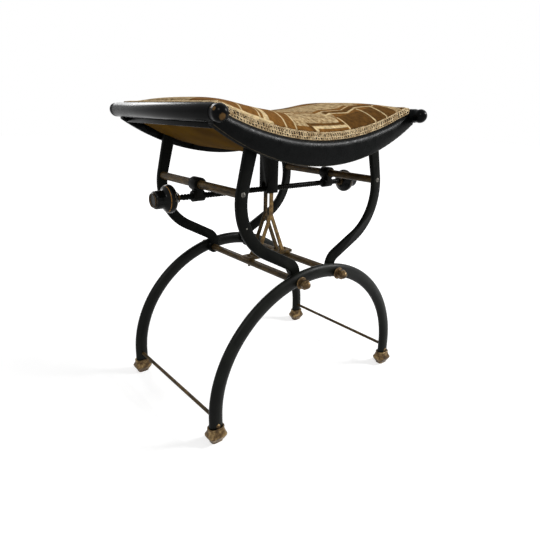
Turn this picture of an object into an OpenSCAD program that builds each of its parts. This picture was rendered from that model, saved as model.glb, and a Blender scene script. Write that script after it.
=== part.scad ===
// Adjustable piano stool. Two iron arches on brass shoes carry two cross rods. Four
// S-shaped legs swing on those rods, and a screw with a left-hand and a right-hand
// thread draws them together or spreads them, which raises or lowers the curved seat.
// X runs from knob to knob, the front is -Y, and the floor is Z = 0.

/* [Arches] */
// Distance between the two feet of one arch, centre to centre
arch_span = 446; // [420:2:470]
// Distance between the front arch and the rear arch, centre to centre
arch_gap = 290.4; // [280:0.4:310]
// Height of the crown of the arch's centre line
arch_top_z = 261.5; // [255:0.5:268]
// Height at which the curve starts above each foot
spring_z = 48; // [44:1:54]
// Radius of the haunches, the sides of the arch
haunch_r = 205; // [190:1:208]
// Depth of the oval bar, in the plane of the arch
bar_w = 25.5; // [22:0.5:28]
// Thickness of the oval bar, front to back
bar_t = 16; // [13:0.5:17]

/* [Shoes] */
// Widest length of a brass shoe, along X
shoe_len = 35; // [31:0.5:38]
// Widest depth of a brass shoe, front to back
shoe_dep = 28.5; // [24:0.5:32]
// Height of a shoe, floor to rim
shoe_h = 29; // [26:0.5:32]
// Height at which the shoe is widest
shoe_wide_z = 14; // [11:0.5:17]
// Height of the upright band at the widest place
shoe_band_h = 2.5; // [1:0.5:4]
// How far the sole is set in from the widest outline
shoe_sole_in = 6.5; // [3:0.5:9]
// Height of the upright edge of the sole
shoe_sole_h = 3; // [1.5:0.5:5]
// Wall of the shoe's neck round the bar
shoe_wall = 1.6; // [1:0.1:2.5]
// Height of the rim's bead
rim_h = 2.6; // [1.5:0.1:4]
// How far the rim's bead stands proud of the neck
rim_proud = 1.1; // [0.5:0.1:2]
// Diameter of the head of the screw above each rim
shoe_screw_d = 8; // [6:0.5:9]
// Height of that head
shoe_screw_h = 2.6; // [1.5:0.1:3.5]
// Length of that screw below its head
shoe_screw_len = 7; // [4:0.5:10]
// Height of the bottom of the bar in its socket
socket_z = 8; // [5:0.5:11]

/* [Rods] */
// Distance between the two lower rods
rod_gap = 93.2; // [87.2:0.4:104]
// Height of the lower rods
rod_z = 252.8; // [250:0.2:256]
// Diameter of the lower rods between the arches
rod_d = 13.5; // [12:0.5:15]
// Diameter of a rod's threaded end
rod_end_d = 10; // [8:0.5:11]
// Diameter of the side stretchers
stretcher_d = 6.5; // [5:0.5:9]
// Height of the side stretchers
stretcher_z = 44; // [42:0.5:56]
// Length of a stretcher's tenon in the bar
tenon_len = 6; // [3:0.5:8]
// Diameter of a stretcher's tenon
tenon_d = 4.5; // [3:0.25:4.75]

/* [Finial nuts] */
// Diameter of a nut's flange
flange_d = 22.5; // [19:0.5:25]
// Thickness of a nut's flange
flange_t = 3.4; // [2:0.2:5]
// Diameter of a nut's neck
nut_neck_d = 14; // [12.5:0.5:16]
// Distance from the flange's seat to the nut's hexagon
nut_hex_in = 8.5; // [6:0.25:11]
// Thickness of the hexagon
nut_hex_t = 6; // [4:0.25:9]
// Width of the hexagon across its corners
nut_hex_d = 19; // [17:0.5:21]
// Diameter of the nut's domed end
nut_dome_d = 14.5; // [12.5:0.5:16]

/* [Legs] */
// Width of a leg, in the plane in which it bends
leg_w = 20.6; // [18:0.2:22]
// Width of a leg at its top pin
leg_top_w = 23.6; // [21:0.2:24.8]
// Thickness of a leg
leg_t = 9; // [7:0.25:9.5]
// Radius on the four long edges of a leg
leg_edge_r = 2; // [0.8:0.2:2.4]
// Outer diameter of the eye at the bottom of a leg
leg_eye_d = 24.5; // [23:0.5:27]
// How far the eyes stand proud of each face of a leg
leg_boss = 0.2; // [0.1:0.05:0.25]
// Angle that the hook curls under, past upright, down to the eye
hook_curl_a = 25; // [18:1:32]
// Radius of the hook above the eye
hook_r = 23.5; // [20:0.5:27]
// Slope of the leg's long lower run, in degrees
run_a = 28; // [25:0.5:31]
// Length of the lower run
run_len = 58.5; // [54:0.1:62]
// Radius of the big outward bend
bend_r = 100; // [94:0.5:104]
// Direction of the leg's top, in degrees from +X
top_a = 104; // [102:0.5:106]
// Length of the leg's straight top, up to its pin
top_len = 73.4; // [71:0.1:73.8]
// Angle up the bend at which the upper rod is screwed on
upper_rod_a = 9.4; // [6:0.2:12]
// Running gap between a leg and the arch beside it
leg_gap = 0.5; // [0.3:0.05:0.8]

/* [Upper rods] */
// Diameter of an upper rod
upper_rod_d = 10; // [8:0.5:11]
// Outer diameter of the sleeves on an upper rod
sleeve_d = 14.4; // [13:0.2:17]
// Diameter of a leg screw's head
leg_screw_d = 8.6; // [7:0.2:11]
// Height of a leg screw's head
leg_screw_h = 2.4; // [1.5:0.1:3.5]
// Diameter of a screw's shank
shank_d = 4.4; // [3:0.2:5]
// Length of a leg screw below its head
leg_screw_len = 26; // [18:1:36]

/* [Screw] */
// Drop from an upper rod to the spindle below it
spindle_drop = 21; // [19:0.5:26]
// Diameter of the spindle
spindle_d = 11; // [9:0.5:12]
// Diameter of the spindle's middle journal
journal_d = 8; // [6:0.5:8.5]
// Outer diameter of the nut's eye round the upper rod
nut_eye_d = 24; // [21:0.5:27]
// Length of the nut's eye along its rod
nut_eye_len = 22; // [18:0.5:28]
// Outer diameter of the nut's threaded barrel
barrel_d = 19; // [17:0.5:20]
// Length of the nut's threaded barrel
barrel_len = 22; // [18:0.5:24]
// Thickness of the web that joins the eye and the barrel
nut_web_t = 12; // [8:0.5:16]
// Distance from the middle of the stool to the outer end of a knob
knob_end_x = 247; // [243:0.5:256]
// Length of a knob
knob_len = 43; // [40:0.5:44]
// Diameter of a knob's flange
knob_flange_d = 48; // [42:1:54]
// Diameter of a knob's grip
knob_grip_d = 31; // [27:0.5:36]
// Diameter of a knob's end face
knob_face_d = 24; // [20:0.5:26]
// Diameter of the collar pinned inside each knob
collar_d = 17; // [15:0.5:20]
// Length of that collar
collar_len = 5; // [3:0.5:6]
// Diameter of the collar's pin
collar_pin_d = 3.6; // [2.5:0.1:4]

/* [Guide] */
// Length of the bearing block along the spindle
block_len = 13; // [11:0.5:13.5]
// Height of the bearing block
block_h = 18; // [14:0.5:22]
// Distance between the two guide forks, inner face to inner face
fork_gap = 14; // [13.5:0.1:15]
// Thickness of a guide fork
fork_t = 4; // [3:0.25:4.5]
// Width of a fork's stem and prongs
fork_w = 8; // [6:0.25:9]
// Height of the fork's crotch
crotch_z = 344; // [330:1:356]
// Distance between the two feet of a fork
fork_foot_gap = 74; // [68:1:76]
// Length of a fork's foot on the crossbar
fork_foot_len = 12; // [9:0.5:14]
// Height of a fork's foot
fork_foot_h = 3; // [2:0.25:4]
// Height of the top of the fork's stem
stem_top_z = 445; // [438:1:450]
// Width of the crossbar that lies on the lower rods, front to back
crossbar_w = 24.5; // [24:0.5:30]
// Thickness of the crossbar
crossbar_h = 6; // [5:0.5:9]
// How far the crossbar reaches past the middle of each lower rod
crossbar_past = 10; // [8:0.5:13]
// How deep the rods sit in the saddles under the crossbar
saddle_h = 1.2; // [0.6:0.1:2]
// Diameter of the head of the bolt that holds the crossbar on each rod
bolt_head_d = 9; // [7:0.5:9.5]
// Height of that head
bolt_head_h = 3.2; // [2:0.2:4]
// How far that bolt stands out below the rod
bolt_out = 3; // [1:0.25:5]
// Outer width of the guide box, along X
box_w = 24.5; // [21.5:0.25:26]
// Outer depth of the guide box, front to back
box_dep = 28; // [27.6:0.2:34]
// Wall of the guide box
box_wall = 1.8; // [1.2:0.1:2]
// Height of the bottom edge of the guide box
box_bottom_z = 387; // [380:1:392]
// Width of the guide box's top flange
box_flange_w = 44; // [36:1:56]
// Thickness of that flange
box_flange_t = 3; // [2:0.5:5]

/* [Seat frame] */
// Height of the bottom edge of a seat rail at its middle
rail_bottom_z = 452.5; // [448:0.5:456]
// Radius of the bottom edge of a seat rail
rail_bottom_r = 415; // [405:1:425]
// Height of the top edge of a seat rail at its middle
rail_top_z = 493; // [492:0.5:494.5]
// How far that edge passes above the axes of the end rolls
rail_top_over = 8.7; // [8.1:0.1:10]
// Distance from the middle of the stool to the outer face of a seat rail
rail_face_y = 158; // [156:0.5:164]
// Thickness of a seat rail
rail_t = 14; // [12:0.5:14.5]
// Width of the rounding on the top outer edge of a seat rail, in from its face
rail_round_w = 7.5; // [4:0.5:8.5]
// Height of that rounding
rail_round_h = 13; // [7:0.5:16]
// Radius on the bottom edges of a seat rail
rail_edge_r = 1.5; // [0.8:0.1:2.5]
// Height of the axis of the end rolls
roll_z = 535; // [534.5:0.5:537]
// Distance between the axes of the two end rolls
roll_gap = 450; // [444:1:458]
// Diameter of an end roll
roll_d = 25; // [23:0.5:27]
// How far a roll reaches past the outer face of a rail
roll_past = 4; // [2:0.5:6]
// Diameter of the ball at each end of a roll
roll_ball_d = 25; // [23:0.5:28]
// Diameter of the neck between a roll and its ball
roll_neck_d = 23.5; // [20:0.5:24]
// Distance from the middle of the stool to the centre of such a ball
roll_ball_y = 172.5; // [171:0.5:180]
// Width of the batten under each roll
batten_w = 16; // [12:0.5:18]
// Height of that batten
batten_h = 8.5; // [6:0.5:9.5]

/* [Tracks] */
// Diameter of the pin at the top of a leg
track_pin_d = 8; // [6:0.5:9]
// Side clearance of that pin in its slot
slot_clear = 0.5; // [0.35:0.05:0.8]
// Thickness of a track plate
plate_t = 4; // [3:0.25:4.5]
// Metal round the slot in a track plate
plate_rim = 4; // [3:0.25:4.5]
// Height that the seat gains for each radian that the legs turn
lift_rate = 182; // [176:1:188]
// How far the seat screws up from where it stands
lift_up = 38; // [30:1:40]
// How far the seat screws down from where it stands
lift_down = 26; // [20:1:26]

/* [Upholstery] */
// Thickness of the board that closes the seat
board_t = 3.5; // [2.5:0.25:3.75]
// Width of the ledge in a rail that carries the board
ledge_w = 5; // [3:0.5:6]
// Thickness of the lining under the seat
lining_t = 1.6; // [1:0.1:2.5]
// Height of the lining above the rails' bottom edge
lining_rise = 9; // [7:0.5:11]
// Gap between the long edges of the lining and the rails
lining_gap = 19; // [18:0.5:26]
// Height of the braid round the seat
braid_h = 14.5; // [12:0.5:18]
// Thickness of the braid
braid_t = 2.2; // [1.2:0.1:3]
// Height of the pad's crown above its edge
pad_crown = 30; // [18:1:36]
// How flat the crown stays towards the front and rear; higher is flatter
pad_side_power = 4; // [2.5:0.25:6]
// How flat the crown stays towards the rolls; higher is flatter
pad_end_power = 6; // [2.5:0.25:8]
// How far the pad's sides draw in
pad_draw = 2; // [0.5:0.25:4]

/* [Hidden] */

$fn = 64;
// Overrun of a cut past the face that it leaves
over = 1;
// Gap between pieces that slide or turn on each other
run_fit = 0.05;
// Gap between two pieces that are fitted and stay still
seat_fit = 0.02;
// Gap between curved seat pieces that meet without glue
joint_gap = 0.1;
// Play of the guide pieces on their flat faces
slide_fit = 0.3;
// Sides of the polygon that stands for the oval section of the arch bar
bar_sides = 24;
// Half of the angle that the sweeps of the curved seat pieces are drawn through
seat_half_a = 34;
// Diameter of the stud that holds a track pin in its leg, and of the washer on it
stud_d = 6;
washer_d = 14;
// Width of the bead round a knob's end face, as a share of the knob's length
knob_bead_share = 0.09;
// Flare of a knob from its grip to its rim: each place as a share of the knob's length,
// and the share of the step in radius that is gained there
flare_shares = [[0.38, 0], [0.46, 0.12], [0.53, 0.47], [0.57, 0.72], [0.64, 0.95], [0.7, 1],
    [0.77, 1], [0.84, 0.82], [0.93, 0.18]];
// Divisions of the pad's skin along X and along Y
pad_nx = 30;
pad_ny = 16;

foot_x = arch_span / 2;
arch_y = arch_gap / 2;
arch_rise = arch_top_z - spring_z;
crown_r = (foot_x * foot_x + arch_rise * arch_rise - 2 * foot_x * haunch_r)
    / (2 * (arch_rise - haunch_r));
crown_z = arch_top_z - crown_r;
crown_a = atan2(foot_x - haunch_r, spring_z - crown_z);
arch_back_y = arch_y - bar_t / 2;
arch_face_y = arch_y + bar_t / 2;
shoe_screw_z = shoe_h + shoe_screw_d / 2 + joint_gap;

rod_x = rod_gap / 2;
rod_end_y = arch_face_y + nut_hex_in + nut_hex_t / 2;

leg_face_y = arch_back_y - leg_gap;
leg_mid_y = leg_face_y - leg_t / 2;
leg_in_y = leg_face_y - leg_t;
leg_boss_y = leg_face_y + leg_boss;
leg_eye = [rod_x, rod_z];
hook_c = leg_eye + hook_r * [cos(hook_curl_a), sin(hook_curl_a)];
hook_end = hook_c + hook_r * [-sin(run_a), cos(run_a)];
run_end = hook_end + run_len * [cos(run_a), sin(run_a)];
bend_c = run_end + bend_r * [-sin(run_a), cos(run_a)];
bend_end = bend_c + bend_r * [sin(top_a), -cos(top_a)];
leg_pin = bend_end + top_len * [cos(top_a), sin(top_a)];
upper_rod = bend_c + bend_r * [cos(upper_rod_a), sin(upper_rod_a)];
spindle_z = upper_rod[1] - spindle_drop;

// The leg turns by an angle t, in degrees, and the seat follows it at a steady rate.
// The slot is the path that the leg's pin then takes as seen from the seat.
pin_arm = norm(leg_pin - leg_eye);
pin_a = atan2(leg_pin[1] - leg_eye[1], leg_pin[0] - leg_eye[0]);
lift_per_deg = lift_rate * PI / 180;
turn_in = lift_up / lift_per_deg;
turn_out = -lift_down / lift_per_deg;
slot_extra_a = slot_clear / pin_arm * 180 / PI;
function slot_at(t) = leg_eye + pin_arm * [cos(pin_a + t), sin(pin_a + t)]
    - [0, lift_per_deg * t];
function slot_way(t) = [-pin_arm * sin(pin_a + t), pin_arm * cos(pin_a + t) - lift_rate];
function slot_side(t) = [-slot_way(t)[1], slot_way(t)[0]] / norm(slot_way(t));

fork_mid_y = fork_gap / 2 + fork_t / 2;
crossbar_under_z = rod_z + rod_d / 2 - saddle_h;
crossbar_top_z = crossbar_under_z + crossbar_h;
rail_in_y = rail_face_y - rail_t;
rail_bottom_c = rail_bottom_z + rail_bottom_r;
roll_x = roll_gap / 2;
rail_top_rise = roll_z + rail_top_over - rail_top_z;
rail_top_r = (roll_x * roll_x + rail_top_rise * rail_top_rise) / (2 * rail_top_rise);
rail_top_c = rail_top_z + rail_top_r;
board_y = rail_in_y + ledge_w - joint_gap;
board_under_z = rail_top_z - board_t;
batten_out_x = roll_x - roll_d / 4;
batten_in_x = batten_out_x - batten_w;
batten_z = roll_z - roll_d / 2 - batten_h;

// How far the spindle climbs into the guide box, seen from the seat, at the lowest seat
upper_arm = norm(upper_rod - leg_eye);
upper_a = atan2(upper_rod[1] - leg_eye[1], upper_rod[0] - leg_eye[0]);
slot_top_gain = upper_arm * (sin(upper_a + turn_out) - sin(upper_a)) + lift_down + slide_fit;

// The pad's sole follows the rails' top edge
pad_y = rail_face_y - rail_round_w - braid_t / 2;
pad_x = roll_x - roll_d / 2 - joint_gap - braid_t;
function sole_z(x) = rail_top_c - sqrt(rail_top_r * rail_top_r - x * x);
function fall(share, power) = 1 - pow(abs(share), power);
function pad_top(x, y) = sole_z(x) + braid_h
    + pad_crown * fall(y / pad_y, pad_side_power) * fall(x / pad_x, pad_end_power);

// Oval section of the arch bar as a polygon of bar_sides sides, with a flat of the full
// width or thickness in the middle of each side
module oval(extra) {
    full = cos(180 / bar_sides);
    polygon([for (i = [0 : bar_sides - 1]) let (a = 360 * (i + 0.5) / bar_sides)
        [(bar_w / 2 + extra) * cos(a) / full, (bar_t / 2 + extra) * sin(a) / full]]);
}

// Stands a shape drawn in the XY plane up in the XZ plane, with its thickness along Y
module upright() {
    rotate([90, 0, 0]) children();
}

// A round bar or bore along Y at x, z, from y0 to y1
module along_y(x, z, y0, y1, d) {
    translate([x, y1, z]) rotate([90, 0, 0]) cylinder(h = y1 - y0, d = d);
}

// A round bar or bore along X at y, z, from x0 to x1
module along_x(y, z, x0, x1, d) {
    translate([x0, y, z]) rotate([0, 90, 0]) cylinder(h = x1 - x0, d = d);
}

// Domed, slotted screw. Its head stands on Z = 0 and its shank goes down.
module domed_screw(head_d, head_h, len) {
    ball_r = (head_h * head_h + head_d * head_d / 4) / (2 * head_h);
    slot_w = head_d / 7;
    difference() {
        rotate_extrude() intersection() {
            translate([0, head_h - ball_r]) circle(ball_r);
            square([head_d / 2, head_h]);
        }
        translate([0, 0, head_h]) cube([head_d, slot_w, head_h], center = true);
    }
    translate([0, 0, -len]) cylinder(h = len, d = shank_d);
}

// Arches

module arch_curve() {
    translate([0, crown_z]) rotate(90 - crown_a)
        rotate_extrude(angle = 2 * crown_a)
            translate([crown_r, 0]) oval(0);
    for (m = [0, 1]) mirror([m, 0, 0]) {
        translate([foot_x - haunch_r, spring_z])
            rotate_extrude(angle = 90 - crown_a)
                translate([haunch_r, 0]) oval(0);
        translate([foot_x, socket_z]) rotate([-90, 0, 0])
            linear_extrude(spring_z - socket_z) oval(0);
    }
}

module arch() {
    color("#2b2c29") difference() {
        translate([0, -arch_y, 0]) upright() arch_curve();
        for (s = [-1, 1]) {
            along_y(s * rod_x, rod_z, -arch_face_y - over, -arch_back_y + over,
                rod_end_d + 2 * seat_fit);
            along_y(s * foot_x, stretcher_z, -arch_back_y - tenon_len - seat_fit,
                -arch_back_y + over, tenon_d + 2 * seat_fit);
            along_y(s * foot_x, shoe_screw_z, -arch_face_y - over,
                -arch_face_y + shoe_screw_len + seat_fit, shank_d + 2 * seat_fit);
        }
    }
}

// Shoes

// Side outline of a shoe of widest width w, whose neck is n wide
module shoe_outline(w, n) {
    top_z = shoe_h - rim_h;
    band_z = shoe_wide_z + shoe_band_h;
    step = (w - n) / 2;
    rise = top_z - band_z;
    hollow_r = (step * step + rise * rise) / (2 * step);
    difference() {
        polygon([
            [-w / 2 + shoe_sole_in, 0], [w / 2 - shoe_sole_in, 0],
            [w / 2 - shoe_sole_in, shoe_sole_h], [w / 2, shoe_wide_z], [w / 2, band_z],
            [w / 2, top_z], [-w / 2, top_z],
            [-w / 2, band_z], [-w / 2, shoe_wide_z], [-w / 2 + shoe_sole_in, shoe_sole_h]]);
        for (s = [-1, 1]) translate([s * (n / 2 + hollow_r), top_z]) circle(hollow_r, $fn = 96);
    }
}

module shoe() {
    color("#8a6a3d") difference() {
        union() {
            intersection() {
                translate([0, shoe_dep / 2, 0]) rotate([90, 0, 0]) linear_extrude(shoe_dep)
                    shoe_outline(shoe_len, bar_w + 2 * shoe_wall);
                translate([-shoe_len / 2, 0, 0]) rotate([90, 0, 90]) linear_extrude(shoe_len)
                    shoe_outline(shoe_dep, bar_t + 2 * shoe_wall);
            }
            translate([0, 0, shoe_h - rim_h]) linear_extrude(rim_h)
                oval(shoe_wall + rim_proud);
        }
        translate([0, 0, socket_z]) linear_extrude(shoe_h) oval(seat_fit);
    }
}

module shoe_at(sx, sy) {
    translate([sx * foot_x, sy * arch_y, 0]) shoe();
}

module shoe_screws() {
    color("#b08d57") for (sx = [-1, 1], sy = [-1, 1])
        translate([sx * foot_x, sy * arch_face_y, shoe_screw_z]) rotate([-sy * 90, 0, 0])
            domed_screw(shoe_screw_d, shoe_screw_h, shoe_screw_len);
}

// Rods and nuts of the base

module stretcher(s) {
    color("#5d4a2e") {
        along_y(s * foot_x, stretcher_z, -arch_back_y, arch_back_y, stretcher_d);
        along_y(s * foot_x, stretcher_z, -arch_back_y - tenon_len, arch_back_y + tenon_len,
            tenon_d);
    }
}

module lower_rod(s) {
    color("#4a3a26") difference() {
        union() {
            along_y(s * rod_x, rod_z, -arch_back_y, arch_back_y, rod_d);
            along_y(s * rod_x, rod_z, -rod_end_y, rod_end_y, rod_end_d);
        }
        crossbar_bore(s);
    }
}

// Upright bore through the crossbar and the lower rod at side s
module crossbar_bore(s) {
    translate([s * rod_x, 0, rod_z - rod_d])
        cylinder(h = 2 * rod_d + crossbar_h, d = shank_d + 2 * seat_fit);
}

// One brass nut on the end of a lower rod: flange, neck, hexagon and domed end, with its
// seat at Z = 0 and the dome upwards
module finial_nut() {
    dome_z = nut_hex_in + nut_hex_t;
    difference() {
        union() {
            rotate_extrude() {
                translate([0, flange_t / 4]) square([flange_d / 2 - flange_t / 4, flange_t / 2]);
                square([flange_d / 2 - flange_t / 2, flange_t]);
                translate([flange_d / 2 - flange_t / 2, flange_t / 2]) intersection() {
                    circle(flange_t / 2);
                    translate([0, -flange_t / 2]) square(flange_t);
                }
            }
            cylinder(h = dome_z, d = nut_neck_d);
            translate([0, 0, nut_hex_in]) cylinder(h = nut_hex_t, d = nut_hex_d, $fn = 6);
            translate([0, 0, dome_z]) sphere(d = nut_dome_d);
        }
        translate([0, 0, -over]) cylinder(h = rod_end_y - arch_face_y + over + seat_fit,
            d = rod_end_d + 2 * seat_fit);
    }
}

module finial_nuts(side) {
    color("#a8895a") for (s = [-1, 1])
        translate([s * rod_x, side * arch_face_y, rod_z]) rotate([-side * 90, 0, 0])
            finial_nut();
}

// Flat bar across the lower rods, with a saddle and a bore over each
module crossbar() {
    end_x = rod_x + crossbar_past;
    color("#6b5231") difference() {
        translate([-end_x, -crossbar_w / 2, crossbar_under_z])
            cube([2 * end_x, crossbar_w, crossbar_h]);
        for (s = [-1, 1]) {
            along_y(s * rod_x, rod_z, -crossbar_w, crossbar_w, rod_d + 2 * seat_fit);
            crossbar_bore(s);
        }
    }
}

module crossbar_bolts() {
    len = crossbar_top_z - rod_z + rod_d / 2 + bolt_out;
    color("#4f4434") for (s = [-1, 1]) translate([s * rod_x, 0, crossbar_top_z])
        domed_screw(bolt_head_d, bolt_head_h, len);
}

// Inverted Y of flat bar: a stem, two prongs and two feet
module fork_outline() {
    foot_x0 = fork_foot_gap / 2;
    prong_a = atan2(crotch_z - crossbar_top_z, foot_x0);
    slant = fork_w / sin(prong_a);
    translate([-fork_w / 2, crotch_z]) square([fork_w, stem_top_z - crotch_z]);
    for (m = [0, 1]) mirror([m, 0]) {
        polygon([
            [foot_x0 - slant, crossbar_top_z], [foot_x0, crossbar_top_z],
            [fork_w / 2, crotch_z], [0, crotch_z + fork_w], [0, crotch_z - fork_w]]);
        translate([foot_x0 - fork_foot_len, crossbar_top_z])
            square([fork_foot_len, fork_foot_h]);
    }
}

module guide_fork(side) {
    translate([0, side * fork_mid_y + fork_t / 2, 0]) upright() linear_extrude(fork_t)
        fork_outline();
}

// Legs

// Section of a leg w wide: a rectangle with each corner eased by two narrow flats
function leg_section(w) = [for (q = [0 : 3], a = [0 : 45 : 90])
    [(q == 0 || q == 3 ? 1 : -1) * (w / 2 - leg_edge_r) + leg_edge_r * cos(90 * q + a),
        (q < 2 ? 1 : -1) * (leg_t / 2 - leg_edge_r) + leg_edge_r * sin(90 * q + a)]];

// The section swept along the leg: each station is a point, a direction and a width
module leg_sweep(stations) {
    n = len(leg_section(leg_w));
    last = len(stations) - 1;
    points = [for (s = stations, q = leg_section(s[2]))
        [s[0][0] - q[0] * sin(s[1]), s[0][1] + q[0] * cos(s[1]), q[1]]];
    skin = [for (i = [0 : last - 1], k = [0 : n - 1])
        let (a = i * n + k, b = i * n + (k + 1) % n) each [[a, a + n, b + n], [a, b + n, b]]];
    caps = [for (k = [1 : n - 2]) each [[0, k, k + 1],
        [last * n, last * n + k + 1, last * n + k]]];
    polyhedron(points, concat(skin, caps));
}

module leg_curve() {
    hook_steps = 12;
    bend_steps = 18;
    hook_turn = 90 - run_a + hook_curl_a;
    hook = [for (i = [0 : hook_steps]) let (a = 180 + hook_curl_a - hook_turn * i / hook_steps)
        [hook_c + hook_r * [cos(a), sin(a)], a - 90, leg_w]];
    bend = [for (i = [0 : bend_steps]) let (a = run_a - 90 + (top_a - run_a) * i / bend_steps)
        [bend_c + bend_r * [cos(a), sin(a)], a + 90, leg_w]];
    leg_sweep(concat(hook, bend, [[leg_pin, top_a, leg_top_w]]));
    translate([leg_eye[0], leg_eye[1], -leg_t / 2 - leg_boss])
        cylinder(h = leg_t + 2 * leg_boss, d = leg_eye_d);
    translate([leg_pin[0], leg_pin[1], -leg_t / 2 - leg_boss])
        cylinder(h = leg_t + 2 * leg_boss, d = leg_top_w);
}

// One leg; sx and sy choose its side and its plane. A left-hand leg is a right-hand one
// turned round.
module leg(sx, sy) {
    mid_y = sx * sy * leg_mid_y;
    color("#22231f") rotate(sx > 0 ? 0 : 180) difference() {
        translate([0, mid_y, 0]) upright() leg_curve();
        along_y(leg_eye[0], leg_eye[1], mid_y - leg_t, mid_y + leg_t, rod_d + 2 * run_fit);
        along_y(upper_rod[0], upper_rod[1], mid_y - leg_t, mid_y + leg_t,
            shank_d + 2 * seat_fit);
        along_y(leg_pin[0], leg_pin[1], mid_y - leg_t, mid_y + leg_t, stud_d + 2 * seat_fit);
    }
}

module upper_rod_bar(sx) {
    color("#4a3a26") difference() {
        along_y(sx * upper_rod[0], upper_rod[1], -leg_in_y, leg_in_y, upper_rod_d);
        for (sy = [-1, 1]) along_y(sx * upper_rod[0], upper_rod[1],
            sy * leg_in_y - leg_screw_len + leg_t, sy * leg_in_y + leg_screw_len - leg_t,
            shank_d + 2 * seat_fit);
    }
}

module rod_sleeves(sx) {
    end_y = nut_eye_len / 2 + slide_fit;
    color("#4f3f2a") difference() {
        union() {
            along_y(sx * upper_rod[0], upper_rod[1], -leg_in_y, -end_y, sleeve_d);
            along_y(sx * upper_rod[0], upper_rod[1], end_y, leg_in_y, sleeve_d);
        }
        along_y(sx * upper_rod[0], upper_rod[1], -leg_face_y, leg_face_y,
            upper_rod_d + 2 * seat_fit);
    }
}

module leg_screws(sx) {
    color("#77756c") for (sy = [-1, 1])
        translate([sx * upper_rod[0], sy * leg_face_y, upper_rod[1]]) rotate([-sy * 90, 0, 0])
            domed_screw(leg_screw_d, leg_screw_h, leg_screw_len);
}

// Shouldered pin at the top of each leg: stud in the leg, washer, then the pin proper
module track_pins(sx) {
    washer_out_y = rail_in_y - plate_t - slide_fit;
    color("#6e6b62") for (sy = [-1, 1]) scale([sx, sy, 1]) {
        along_y(leg_pin[0], leg_pin[1], leg_in_y - leg_boss, leg_boss_y, stud_d);
        along_y(leg_pin[0], leg_pin[1], leg_boss_y, washer_out_y, washer_d);
        along_y(leg_pin[0], leg_pin[1], washer_out_y, rail_in_y - slide_fit, track_pin_d);
    }
}

// Screw

module screw_nut(sx) {
    color("#1f1f1d") translate([sx * upper_rod[0], 0, upper_rod[1]]) difference() {
        union() {
            along_y(0, 0, -nut_eye_len / 2, nut_eye_len / 2, nut_eye_d);
            along_x(0, -spindle_drop, -barrel_len / 2, barrel_len / 2, barrel_d);
            translate([-nut_web_t / 2, -barrel_d / 2, -spindle_drop])
                cube([nut_web_t, barrel_d, spindle_drop]);
        }
        along_y(0, 0, -nut_eye_len, nut_eye_len, upper_rod_d + 2 * run_fit);
        along_x(0, -spindle_drop, -barrel_len, barrel_len, spindle_d + 2 * run_fit);
    }
}

module bearing_block() {
    block_w = fork_gap - 2 * slide_fit;
    color("#262523") difference() {
        translate([-block_len / 2, -block_w / 2, spindle_z - block_h / 2])
            cube([block_len, block_w, block_h]);
        along_x(0, spindle_z, -block_len, block_len, journal_d + 2 * run_fit);
    }
}

module spindle() {
    shoulder_x = block_len / 2 + run_fit;
    tip_x = knob_end_x - knob_len / 3;
    color("#2e2d2a") {
        along_x(0, spindle_z, -tip_x, -shoulder_x, spindle_d);
        along_x(0, spindle_z, -shoulder_x, shoulder_x, journal_d);
        along_x(0, spindle_z, shoulder_x, tip_x, spindle_d);
    }
}

// Turned outline of a knob, from its end face at 0 to its back at knob_len
module knob_outline() {
    face_r = knob_face_d / 2;
    grip_r = knob_grip_d / 2;
    rim_r = knob_flange_d / 2;
    bead_x = knob_len * knob_bead_share;
    polygon(concat(
        [[0, 0], [0, face_r - bead_x / 3], [bead_x / 3, face_r], [bead_x * 2 / 3, face_r],
            [bead_x, grip_r - bead_x / 4], [bead_x * 1.6, grip_r]],
        [for (s = flare_shares) [knob_len * s[0], grip_r + (rim_r - grip_r) * s[1]]],
        [[knob_len, collar_d / 2 + bead_x], [knob_len, 0]]));
}

module knob(sx) {
    color("#1c1c1b") difference() {
        translate([sx * knob_end_x, 0, spindle_z]) rotate([0, -sx * 90, 0])
            rotate_extrude() mirror([1, -1]) knob_outline();
        along_x(0, spindle_z, -knob_end_x + knob_len / 3 - seat_fit,
            knob_end_x - knob_len / 3 + seat_fit, spindle_d + 2 * seat_fit);
    }
}

module collar(sx) {
    inner_x = knob_end_x - knob_len - collar_len;
    color("#6d4a30") scale([sx, 1, 1]) {
        difference() {
            along_x(0, spindle_z, inner_x, inner_x + collar_len, collar_d);
            along_x(0, spindle_z, 0, knob_end_x, spindle_d + 2 * seat_fit);
        }
        translate([inner_x + collar_len / 2, 0, spindle_z + spindle_d / 2 + seat_fit])
            cylinder(h = collar_d / 2 - spindle_d / 2 + collar_pin_d / 2, d = collar_pin_d);
    }
}

// Seat frame

// Ring sector about an axis along Y at height c, of the section drawn as children.
// The section is drawn with its radius along X and the Y direction of the stool along Y.
module seat_sweep(c, half_a) {
    translate([0, 0, c]) rotate([90, 0, 0]) rotate(-90 - half_a)
        rotate_extrude(angle = 2 * half_a, $fn = 180) children();
}

// The rail's crescent is what two rings share: one follows its bottom edge, and the
// other its rounded top edge and the ledge for the board
module seat_rail(side) {
    depth = rail_bottom_r - rail_bottom_r * cos(seat_half_a) + rail_top_z - rail_bottom_z;
    color("#1d1e1c") scale([1, side, 1]) difference() {
        intersection() {
            seat_sweep(rail_bottom_c, seat_half_a) translate([rail_bottom_r - depth, 0])
                mirror([0, 1]) rail_foot_section(depth);
            seat_sweep(rail_top_c, seat_half_a) translate([rail_top_r, 0])
                mirror([0, 1]) rail_top_section(depth);
            translate([-roll_x, 0, rail_bottom_z - over])
                cube([roll_gap, rail_face_y + over, roll_z]);
        }
        for (s = [-1, 1]) along_y(s * roll_x, roll_z, 0, rail_face_y + over,
            roll_d + 2 * joint_gap);
    }
}

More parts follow.
